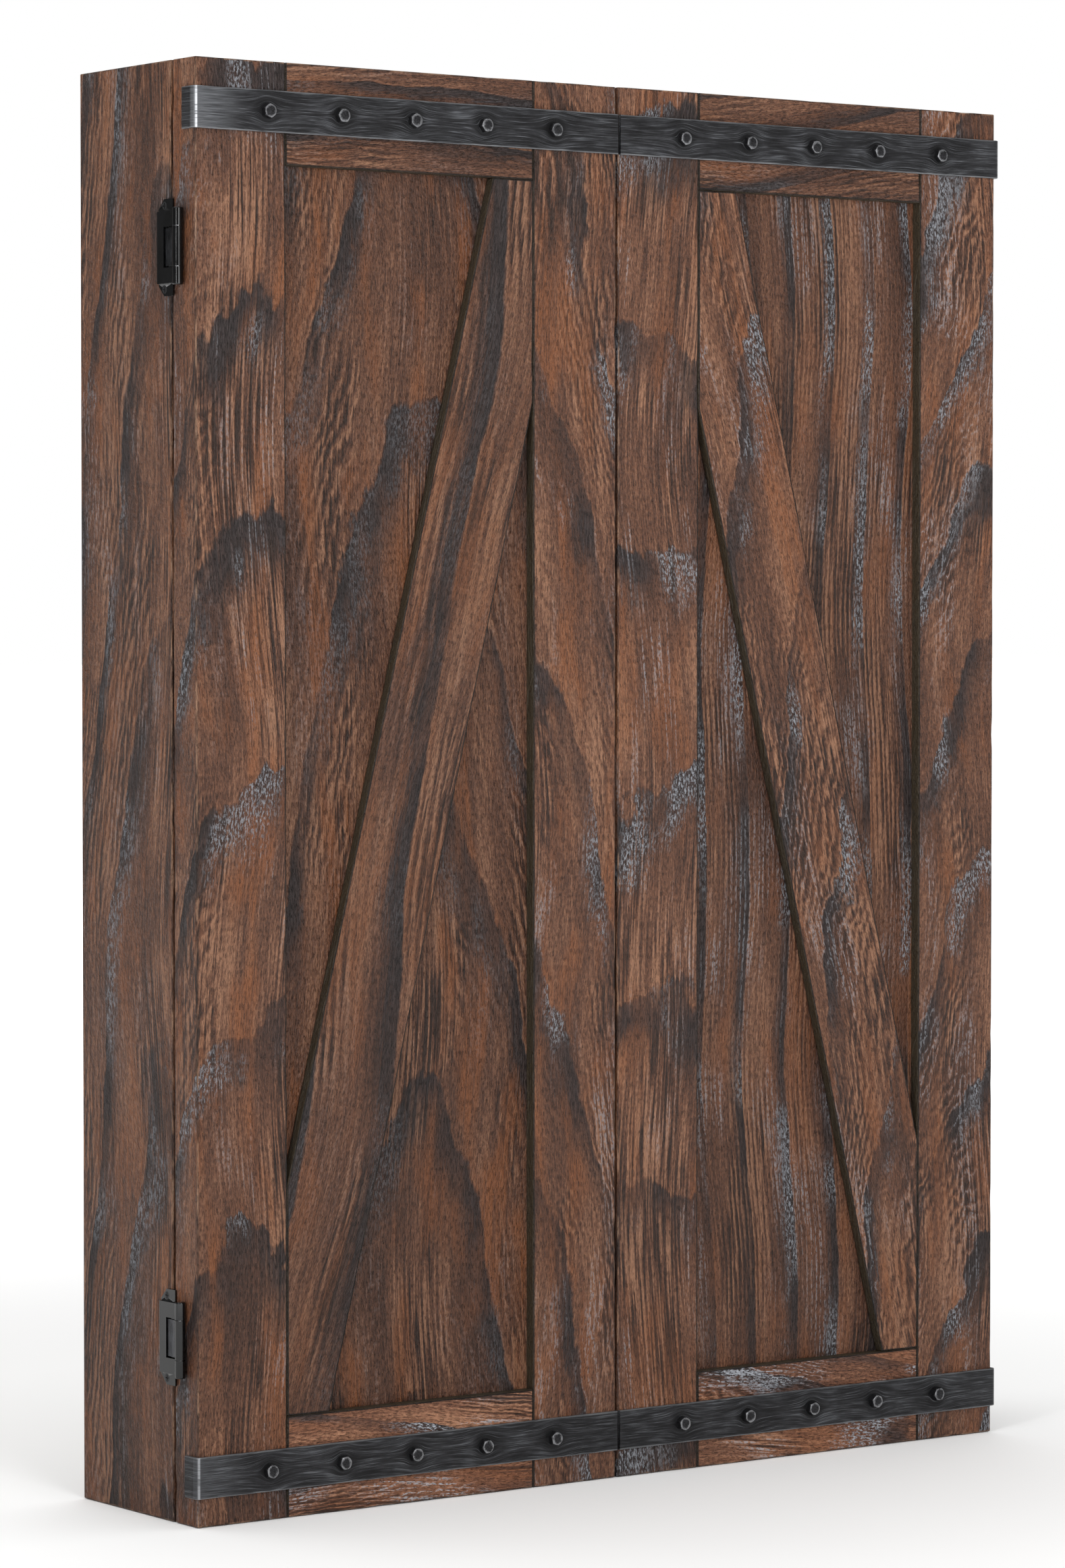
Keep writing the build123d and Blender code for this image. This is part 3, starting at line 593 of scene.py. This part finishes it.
def drawn_metal(name, dark, light, lay, rough, constants):
    """Metal whose fine lines follow the way it was drawn, rolled or turned. lay is a line's size."""
    material, bench = new_finish(name)
    place = bench.here()
    line = bench.noise(place, lay, 2.0)
    cloud = bench.noise(place, (9, 9, 9), 3.0)
    spot = bench.noise(place, (0.9, 0.9, 0.9), 2.0).step(0.60, 0.74)
    colour = bench.mix((line * 0.7 + cloud * 0.3).step(0.32, 0.68), dark, light)
    colour = bench.mix(spot * 0.3, colour, dark)
    roughness = rough + (line - 0.5) * 0.25 + (cloud - 0.5) * 0.2 + spot * 0.12
    bench.finish(colour, roughness, line - spot * 0.5, LINE_DEPTH, constants)
    return material


def moulded_plastic(name, dark, light, grain_size, rough, depth, constants):
    """Plastic, rubber or enamel with the fine grain of its surface."""
    material, bench = new_finish(name)
    place = bench.here()
    grain = bench.noise(place, (grain_size,) * 3, 2.0)
    cloud = bench.noise(place, (14, 14, 14), 2.0)
    colour = bench.mix(cloud.step(0.3, 0.7), dark, light)
    bench.finish(colour, rough + (grain - 0.5) * 0.2, grain, depth, constants)
    return material


STEEL = {"Metallic": 1.0}
hinge_enamel = moulded_plastic(
    "gloss_black_enamel", ink(3, 3, 3), ink(9, 9, 10), 2.6, 0.11, 0.002, {"Specular IOR Level": 0.42})
pin_steel = drawn_metal(
    "bright_pin_steel", ink(150, 150, 154), ink(196, 196, 200), (0.2, 0.2, 6), 0.26, STEEL)
spring_steel = drawn_metal(
    "dark_spring_steel", ink(22, 22, 24), ink(74, 75, 79), (0.4, 0.3, 9), 0.25, STEEL)
black_screws = drawn_metal(
    "black_oxide", ink(20, 20, 21), ink(48, 48, 50), (0.3, 0.3, 0.3), 0.42, {"Metallic": 0.6})
zinc_screws = drawn_metal(
    "bright_zinc", ink(150, 150, 146), ink(206, 206, 200), (0.3, 0.3, 0.3), 0.32, STEEL)
strike_steel = drawn_metal(
    "rolled_strike_steel", ink(120, 120, 122), ink(186, 186, 188), (6, 0.3, 0.3), 0.34, STEEL)
ferrite = drawn_metal(
    "ground_ferrite", ink(34, 34, 36), ink(66, 66, 68), (5, 0.25, 0.25), 0.5, {"Metallic": 0.3})
catch_plastic = moulded_plastic("moulded_brown", ink(50, 32, 23), ink(66, 43, 31), 0.5, 0.48, 0.03, {})
bumper_rubber = moulded_plastic(
    "clear_bumper", ink(196, 196, 190), ink(220, 220, 214), 1.2, 0.3, 0.02, {})

CORNERS = [f"{door}_{level}" for door in ("left", "right") for level in ("upper", "lower")]
lay_finish("back_panel", matt_back_board())
lay_finish("case_dowels", turned_beech())
for corner in CORNERS:
    lay_finish(f"{corner}_hinge_pin", pin_steel)
    lay_finish(f"{corner}_closing_spring", spring_steel)
for node in ("frame_wing_screws", "left_wing_screws", "right_wing_screws", "catch_screws"):
    lay_finish(node, black_screws)
for node in ("back_screws", "left_strike_screws", "right_strike_screws"):
    lay_finish(node, zinc_screws)
for node in ("left_strike_plates", "right_strike_plates", "shelf_pins"):
    lay_finish(node, strike_steel)
lay_finish("catch_magnets", ferrite)
lay_finish("upper_catch", catch_plastic)
lay_finish("lower_catch", catch_plastic)
lay_finish("door_bumpers", bumper_rubber)

# ---- Hinges ----
HINGE_EASE = 0.35 * MM
SHORTEST_EASED = 2.2 * MM
WELD = 0.002 * MM
ALMOST_FLAT = math.radians(1)
CREASE = math.radians(20)
SHARP = math.radians(40)


def softened(name, node, body):
    """A hinge leaf's CAD shape with its longer sharp edges chamfered, in place of the node."""
    bm = bmesh.new()
    bm.from_mesh(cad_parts[node].data)
    bmesh.ops.remove_doubles(bm, verts=bm.verts, dist=WELD)
    bmesh.ops.dissolve_limit(bm, angle_limit=ALMOST_FLAT, verts=bm.verts, edges=bm.edges)
    sharp = [edge for edge in bm.edges if edge.is_manifold and edge.calc_face_angle() > SHARP]
    eased = [edge for edge in sharp if edge.calc_length() > SHORTEST_EASED]
    bmesh.ops.bevel(bm, geom=eased, offset=HINGE_EASE, segments=1, affect="EDGES", clamp_overlap=True)
    bmesh.ops.remove_doubles(bm, verts=bm.verts, dist=WELD)
    bmesh.ops.triangulate(bm, faces=bm.faces)
    piece = new_piece(name, bm, hinge_enamel)
    piece.data.set_sharp_from_angle(angle=CREASE)
    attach(piece, body)
    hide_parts(node)


for corner in CORNERS:
    door = corner.split("_")[0]
    softened(f"{corner}_case_leaf", f"{corner}_frame_wing", "case")
    softened(f"{corner}_door_leaf", f"{corner}_door_wing", f"{door}_door")

# ---- Straps ----
STRAP_BEND_R = 3 * MM
BEND_STEPS, LEG_STEPS = 6, 3
STRAP_STEP = 6 * MM
STRAP_EASE = 0.45 * MM
EASE_MIDDLE = 0.29  # of the ease, where the middle of a rounded edge lies
STRAP_SUPPORT = 1.6 * MM
STRAP_ROWS = 8
STRAP_WAVE = 0.35 * MM  # how deep hammering has set the edges in
WAVE_REACH = 6 * MM
WAVES_PER_METRE = 60
LEAST_PITCH = 20 * MM
CURL, CURL_CORE = 34, 12  # square millimetres of a bolt's pull on the brush strokes
IRON = [(0.0, ink(20, 20, 21)), (0.45, ink(39, 39, 41)), (0.75, ink(60, 61, 64)), (1.0, ink(98, 100, 104))]
BOLT_SHADE, SCRATCHED, RUBBED_IRON = ink(17, 17, 18), ink(112, 114, 118), ink(138, 140, 143)
WORN_IRON, BEND_HIGHLIGHT = ink(122, 124, 128), ink(196, 198, 202)


def bolt_columns(node):
    """Each bolt of a door once: its distance from the middle of the cabinet, in order."""
    places = [vert.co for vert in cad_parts[node].data.vertices]
    front = min(place.y for place in places)
    columns = []
    for x in sorted(abs(place.x) for place in places if place.y < front + FLUSH):
        if not columns or x - columns[-1][-1] > LEAST_PITCH:
            columns.append([x])
        columns[-1].append(x)
    return [(column[0] + column[-1]) / 2 for column in columns]


bolt_xs = bolt_columns("left_strap_bolts")
bolt_pitch = (bolt_xs[-1] - bolt_xs[0]) / (len(bolt_xs) - 1)
bar_out = -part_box("left_upper_strap")[0].x


def brush_flow(bench, along, across, seed):
    """Where the brush strokes run, curled round the bolts, and the nearest bolt's squared distance."""
    first, pitch = bolt_xs[0] / MM, bolt_pitch / MM
    nearest = bench.math("ROUND", (along - first) / pitch).most(0).least(len(bolt_xs) - 1)
    off = along - first - nearest * pitch
    spread = off * off + across * across + 2
    return bench.vector(along, across * (1 - CURL / (spread + CURL_CORE)), seed), spread


def blackened_strap():
    """Blackened flat bar, brushed along its length and round each bolt, abraded bright on its edges, with
    painted shade round the bolts and a painted highlight along its bend.
    """
    material, bench = new_finish("blackened_strap")
    bar = bench.attribute("bar", "Vector")
    along, across, seed = bar.parts()
    flow, spread = brush_flow(bench, along, across, seed)
    hair = bench.noise(flow, (22, 0.22, 20), 2.0, 0.6)
    stroke = bench.noise(flow, (34, 1.5, 20), 3.0)
    cloud = bench.noise(flow, (26, 12, 20), 3.0)
    shade = (hair - 0.5) * 2.6 + (stroke - 0.5) * 1.3 + (cloud - 0.5) * 1.0 + 0.45
    colour = bench.ramp(shade, IRON)
    # Painted shade: the bar is darkened round each bolt head.
    colour = bench.mix(spread.step(120, 30) * 0.55, colour, BOLT_SHADE)
    scratch = hair.step(0.58, 0.66) * stroke.step(0.42, 0.58)
    colour = bench.mix(scratch * 0.6, colour, SCRATCHED)
    rubbed = (bench.attribute("arris") + (stroke - 0.5) * 2.6 + (hair - 0.5) * 1.5).step(1.0, 0.0)
    colour = bench.mix(rubbed * 0.6, colour, RUBBED_IRON)

    # Handling has abraded the bar towards its bend, and a painted highlight runs along the bend itself.
    bend_start = (bar_out - STRAP_BEND_R) / MM
    bend_end = bend_start + math.pi / 2 * STRAP_BEND_R / MM
    polished = bench.attribute("polished")
    before_leg = along.step(bend_end + 2, bend_end)
    marked = along.step(bend_start - 38, bend_start - 2) * (0.2 + 0.8 * hair.step(0.35, 0.6)) * before_leg
    colour = bench.mix(marked * polished * 0.6, colour, WORN_IRON)
    # Painted highlight: a bright line along the bend.
    glint = along.step(bend_start + 0.2, bend_start + 1.2) * along.step(bend_start + 2.6, bend_start + 1.4)
    glint = glint * (stroke + cloud).step(0.75, 1.05)
    colour = bench.mix(glint * polished, colour, BEND_HIGHLIGHT)
    pit = bench.noise(bar, (1.1, 1.1, 20), 2.0).step(0.62, 0.74)
    roughness = 0.46 + (hair - 0.5) * 0.3 - rubbed * 0.1 + pit * 0.1
    relief = hair * 0.4 + stroke * 0.4 - pit * 0.6
    bench.finish(colour, roughness, relief, 0.12, {"Metallic": 0.5, "Specular IOR Level": 0.3})
    return material


strap_iron = blackened_strap()


def strap_stations(node, thickness):
    """Steps along a bar: the length behind each, and its outer and inner face in X and Y."""
    low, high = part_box(node)
    out = max(abs(low.x), abs(high.x))
    meeting = min(abs(low.x), abs(high.x))
    bend = Vector((out - STRAP_BEND_R, low.y + STRAP_BEND_R))
    stations = []
    count = round((bend.x - meeting) / STRAP_STEP)
    for step in range(count + 1):
        x = meeting + (bend.x - meeting) * step / count
        stations.append((x, Vector((x, low.y)), Vector((x, low.y + thickness))))
    for step in range(1, BEND_STEPS + 1):
        angle = math.radians(90 * step / BEND_STEPS)
        away = Vector((math.sin(angle), -math.cos(angle)))
        inner = bend + away * (STRAP_BEND_R - thickness)
        stations.append((bend.x + STRAP_BEND_R * angle, bend + away * STRAP_BEND_R, inner))
    leg = high.y - bend.y
    for step in range(1, LEG_STEPS + 1):
        y = bend.y + leg * step / LEG_STEPS
        stations.append((stations[-1][0] + leg / LEG_STEPS, Vector((out, y)), Vector((out - thickness, y))))
    return stations


def strap_section(thickness, height):
    """The ring of a flat bar's section: depths and heights, with rounded corners."""
    ease, slant = STRAP_EASE, STRAP_EASE * EASE_MIDDLE
    rows = [height * step / STRAP_ROWS for step in range(1, STRAP_ROWS)]
    rows = [ease, STRAP_SUPPORT] + rows + [height - STRAP_SUPPORT, height - ease]
    ring = [(0, z) for z in rows]
    ring += [(slant, height - slant), (ease, height), (thickness - ease, height)]
    ring += [(thickness - slant, height - slant)]
    ring += [(thickness, z) for z in (height - ease, height / 2, ease)]
    ring += [(thickness - slant, slant), (thickness - ease, 0), (ease, 0), (slant, slant)]
    return ring


def hammered(travel, z, height, seed):
    """How far the nearer long edge's waves push a point of a bar up or down."""
    lower = z < height / 2
    swing = noise.noise(Vector((travel * WAVES_PER_METRE, seed, 0 if lower else 9)))
    wave = STRAP_WAVE * (0.5 + 0.5 * swing)
    return wave * (1 if lower else -1) * max(1 - min(z, height - z) / WAVE_REACH, 0)


def bent_strap(name, node, side, seed, polished):
    """A flat bar across the door's front, bent back round its outer edge. side is -1 on the left."""
    low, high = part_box(node)
    height = high.z - low.z
    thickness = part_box(f"{'left' if side < 0 else 'right'}_outer_stile")[0].y - low.y
    ring = strap_section(thickness, height)
    bm = bmesh.new()
    loops, bars, arrises = [], [], []
    for travel, outer, inner in strap_stations(node, thickness):
        loop = []
        for depth, z in ring:
            plan = outer.lerp(inner, depth / thickness)
            level = low.z + z + hammered(travel, z, height, seed)
            loop.append(bm.verts.new((side * plan.x, plan.y, level)))
            bars.append((travel / MM, (z - height / 2) / MM, seed * 40.0))
            arrises.append(max(min(z, height - z), min(depth, thickness - depth)) / MM)
        loops.append(loop)
    for before, after in zip(loops, loops[1:]):
        for step in range(len(ring)):
            bm.faces.new((before[step - 1], before[step], after[step], after[step - 1]))
    bm.faces.new(loops[0])
    bm.faces.new(loops[-1][::-1])
    bmesh.ops.recalc_face_normals(bm, faces=bm.faces)
    piece = new_piece(name, bm, strap_iron)
    piece.data.set_sharp_from_angle(angle=SHARP)
    add_attribute(piece, "bar", "FLOAT_VECTOR", bars)
    add_attribute(piece, "arris", "FLOAT", arrises)
    add_attribute(piece, "polished", "FLOAT", [polished] * len(bars))
    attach(piece, "left_door" if side < 0 else "right_door")
    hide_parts(node)


for seed, (corner, side, polished) in enumerate(zip(CORNERS, (-1, -1, 1, 1), (1.0, 0.45, 0.12, 0.12))):
    bent_strap(f"{corner}_bent_strap", f"{corner}_strap", side, seed + 1, polished)

# ---- Bolts ----
SIXTH = math.radians(60)
CHAMFER = math.radians(30)
CROWN = 0.93  # the flat top's width against the width across flats
SHANK_OVERLAP = 0.1 * MM
DOME = 0.2 * MM
HEAD_SIDES, SHANK_SIDES = 36, 20


def bolt_black_with_rim_highlight():
    """Blackened bolt heads, with a painted highlight round the rim of each head."""
    material, bench = new_finish("bolt_black_rim_highlight")
    place = bench.here()
    rubbed = bench.attribute("rubbed")
    fine = bench.noise(place, (0.5, 0.5, 0.5), 2.0)
    cloud = bench.noise(place, (3, 3, 3), 2.0)
    colour = bench.mix(fine.step(0.35, 0.65), ink(24, 24, 25), ink(50, 50, 53))
    # Painted highlight: the rim of each head is lightened.
    bright = (rubbed + (cloud - 0.5) * 0.9 + (fine - 0.5) * 0.5).step(0.62, 1.05)
    colour = bench.mix(bright * 0.75, colour, ink(150, 151, 154))
    roughness = 0.44 - bright * 0.14 + (fine - 0.5) * 0.2
    bench.finish(colour, roughness, fine, 0.05, {"Metallic": 0.7})
    return material


def hex_head(bench, size):
    """A domed, chamfered hex head, pressed from a round blank that reaches from -1 to 1."""
    half = size["Across flats"] / 2
    height = size["Head height"]
    sides = {"Vertices": HEAD_SIDES, "Side Segments": 2, "Fill Segments": 1, "Radius": 1.0, "Depth": 2.0}
    blank = bench.node("GeometryNodeMeshCylinder", {"fill_type": "TRIANGLE_FAN"}, sides)["Mesh"]
    x, y, z = bench.node("GeometryNodeInputPosition", {}, {})["Position"].parts()
    fold = ((bench.math("ARCTAN2", y, x) / SIXTH).fraction() - 0.5) * SIXTH
    hexagon = half / bench.math("COSINE", fold)
    crown = half * CROWN
    at_top = bench.math("GREATER_THAN", z, 0.5)
    at_base = bench.math("LESS_THAN", z, -0.5)
    from_middle = (x * x + y * y).root()
    radius = hexagon + (crown - hexagon) * at_top
    chamfer_z = height - (hexagon - crown) * math.tan(CHAMFER)
    top_z = height + size["Dome"] * (1 - from_middle)
    level = (chamfer_z + (top_z - chamfer_z) * at_top) * (1 - at_base)

    # The painted rim highlight is kept before the blank is pressed, because it is worked out on the blank.
    rim = from_middle.step(0.5, 1.0) * (1 - at_base) * (0.35 + 0.65 * at_top)
    store = {"data_type": "FLOAT", "domain": "POINT"}
    rim_highlight = {"Geometry": blank, "Name": "rubbed", "Value": rim}
    marked = bench.node("GeometryNodeStoreNamedAttribute", store, rim_highlight)["Geometry"]
    pressed = {"Geometry": marked, "Position": bench.vector(x * radius, y * radius, level)}
    return bench.node("GeometryNodeSetPosition", {}, pressed)["Geometry"]


def bolt_shank(bench, size):
    """A round shank, which runs a little way into its head."""
    sizes = {"Vertices": SHANK_SIDES, "Radius": size["Shank radius"], "Depth": size["Shank length"]}
    shank = bench.node("GeometryNodeMeshCylinder", {}, sizes)["Mesh"]
    drop = bench.vector(z=size["Shank length"] * -0.5 + SHANK_OVERLAP)
    return bench.node("GeometryNodeTransform", {}, {"Geometry": shank, "Translation": drop})["Geometry"]


def hex_bolts(material):
    """A tree that sets a domed hex head and its shank on every point, facing the front."""
    tree = bpy.data.node_groups.new("hex_bolts", "GeometryNodeTree")
    tree.interface.new_socket("Places", in_out="INPUT", socket_type="NodeSocketGeometry")
    for label in ("Across flats", "Head height", "Dome", "Shank radius", "Shank length"):
        tree.interface.new_socket(label, in_out="INPUT", socket_type="NodeSocketFloat")
    tree.interface.new_socket("Turn seed", in_out="INPUT", socket_type="NodeSocketInt")
    tree.interface.new_socket("Bolts", in_out="OUTPUT", socket_type="NodeSocketGeometry")
    bench = Bench(tree)
    size = bench.node("NodeGroupInput", {}, {})
    parts = {"Geometry": [hex_head(bench, size), bolt_shank(bench, size)]}
    bolt = bench.node("GeometryNodeJoinGeometry", {}, parts)["Geometry"]
    turns = {"Min": 0.0, "Max": SIXTH, "Seed": size["Turn seed"]}
    turn = bench.node("FunctionNodeRandomValue", {"data_type": "FLOAT"}, turns)["Value"]
    facing = {"Points": size["Places"], "Instance": bolt, "Rotation": (math.radians(90), 0, 0)}
    placed = bench.node("GeometryNodeInstanceOnPoints", {}, facing)["Instances"]
    spun = {"Instances": placed, "Rotation": bench.vector(z=turn)}
    turned = bench.node("GeometryNodeRotateInstances", {}, spun)["Instances"]
    real = bench.node("GeometryNodeRealizeInstances", {}, {"Geometry": turned})["Geometry"]
    done = bench.node("GeometryNodeSetMaterial", {}, {"Geometry": real, "Material": material})["Geometry"]
    bench.node("NodeGroupOutput", {}, {"Bolts": done})
    return tree


def built(name, places, tree, sizes, material):
    """One plain mesh from a tree, with its named inputs set, worked out at a set of points."""
    mesh = bpy.data.meshes.new(name)
    mesh.from_pydata(places, [], [])
    seed_piece = bpy.data.objects.new(f"{name}_places", mesh)
    bpy.context.scene.collection.objects.link(seed_piece)
    modifier = seed_piece.modifiers.new("build", "NODES")
    modifier.node_group = tree
    for item in tree.interface.items_tree:
        if item.item_type == "SOCKET" and item.name in sizes:
            modifier[item.identifier] = sizes[item.name]
    bpy.context.view_layer.update()
    evaluated = seed_piece.evaluated_get(bpy.context.evaluated_depsgraph_get())
    result = bpy.data.meshes.new_from_object(evaluated)
    bpy.data.objects.remove(seed_piece)
    result.name = name
    result.materials.clear()
    result.materials.append(material)
    piece = bpy.data.objects.new(name, result)
    bpy.context.scene.collection.objects.link(piece)
    return piece


bolt_black = bolt_black_with_rim_highlight()
bolt_tree = hex_bolts(bolt_black)
bolt_low, bolt_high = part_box("left_strap_bolts")
strap_low, strap_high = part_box("left_upper_strap")
strap_z = (strap_low.z + strap_high.z) / 2
BOLT_SIZES = {
    "Across flats": 8 * MM,
    "Head height": strap_low.y - bolt_low.y - DOME,
    "Dome": DOME,
    "Shank radius": 2.4 * MM,
    "Shank length": bolt_high.y - strap_low.y,
}
for side, door in ((-1, "left"), (1, "right")):
    places = [(side * x, strap_low.y, level * strap_z) for level in (-1, 1) for x in bolt_xs]
    bolts = built(f"{door}_hex_bolts", places, bolt_tree, {**BOLT_SIZES, "Turn seed": 5 + side}, bolt_black)
    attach(bolts, f"{door}_door")
    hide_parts(f"{door}_strap_bolts")

# ---- Camera ----
CAMERA_PLACE = Vector((-1.9401, -2.7111, 0.1099))
CAMERA_TURN = math.radians(36.002)
CAMERA_TILT = math.radians(-1.938)
CAMERA_LENS = 119.4

camera_data = bpy.data.cameras.new("camera")
camera_data.lens = CAMERA_LENS
camera_data.sensor_fit = "VERTICAL"
camera_data.sensor_height = 36.0
camera = bpy.data.objects.new("camera", camera_data)
camera.location = CAMERA_PLACE
camera.rotation_euler = (math.radians(90) + CAMERA_TILT, 0, -CAMERA_TURN)
bpy.context.scene.collection.objects.link(camera)
bpy.context.scene.camera = camera
bpy.context.scene.view_settings.view_transform = "Standard"

# ---- Light and floor ----
LIT_POINT = Vector((0, -0.1, 0))
SURROUND, SEEN_EXTRA, GLOSSY_LESS = 0.45, 0.55, 0.3  # the white around, by kind of ray
FLOOR_HALF = 40
FLOOR_DROP = 0.4 * MM
FADE_START, FADE_END = 500, 2600  # millimetres from the cabinet, over which the floor turns white


def soft_light(name, place, size, power):
    """A large soft light that faces the cabinet."""
    data = bpy.data.lights.new(name, "AREA")
    data.shape = "RECTANGLE"
    data.size, data.size_y = size
    data.energy = power
    light = bpy.data.objects.new(name, data)
    light.location = place
    light.rotation_euler = (LIT_POINT - Vector(place)).to_track_quat("-Z", "Y").to_euler()
    bpy.context.scene.collection.objects.link(light)


soft_light("key_light", (-0.6, -3.4, 1.1), (1.5, 2.8), 61)
soft_light("side_light", (-3.2, -1.6, 0.9), (0.3, 2.4), 32)
soft_light("top_light", (0, 0.2, 2.6), (3.0, 3.0), 66)

world = bpy.data.worlds.new("studio")
world.use_nodes = True
bpy.context.scene.world = world
sky = Bench(world.node_tree)
ray = sky.node("ShaderNodeLightPath", {}, {})
strength = SURROUND + ray["Is Camera Ray"] * SEEN_EXTRA - ray["Is Glossy Ray"] * GLOSSY_LESS
back_light = sky.node("ShaderNodeBackground", {}, {"Color": (1.0, 1.0, 1.0, 1.0), "Strength": strength})
sky.node("ShaderNodeOutputWorld", {}, {"Surface": back_light["Background"]})


def studio_floor():
    """A pale floor under the cabinet."""
    material, bench = new_finish("pale_floor")
    place = bench.here()
    x, y, _ = place.parts()
    cloud = bench.noise(place, (900, 900, 900))
    colour = bench.mix(cloud, ink(246, 246, 246), ink(252, 252, 251))
    away = (x * x + y * y).root().step(FADE_START, FADE_END)
    glow = {"Emission Strength": 1.0, "Emission Color": bench.mix(away, (0, 0, 0, 1), (1, 1, 1, 1))}
    bench.finish(colour, 0.85 + (cloud - 0.5) * 0.1, cloud, 0.1, glow)
    bm = bmesh.new()
    bmesh.ops.create_grid(bm, x_segments=8, y_segments=8, size=FLOOR_HALF)
    bmesh.ops.translate(bm, verts=bm.verts, vec=(0, 0, cad_bounds[0][2] - FLOOR_DROP))
    floor = new_piece("floor", bm, material)


studio_floor()
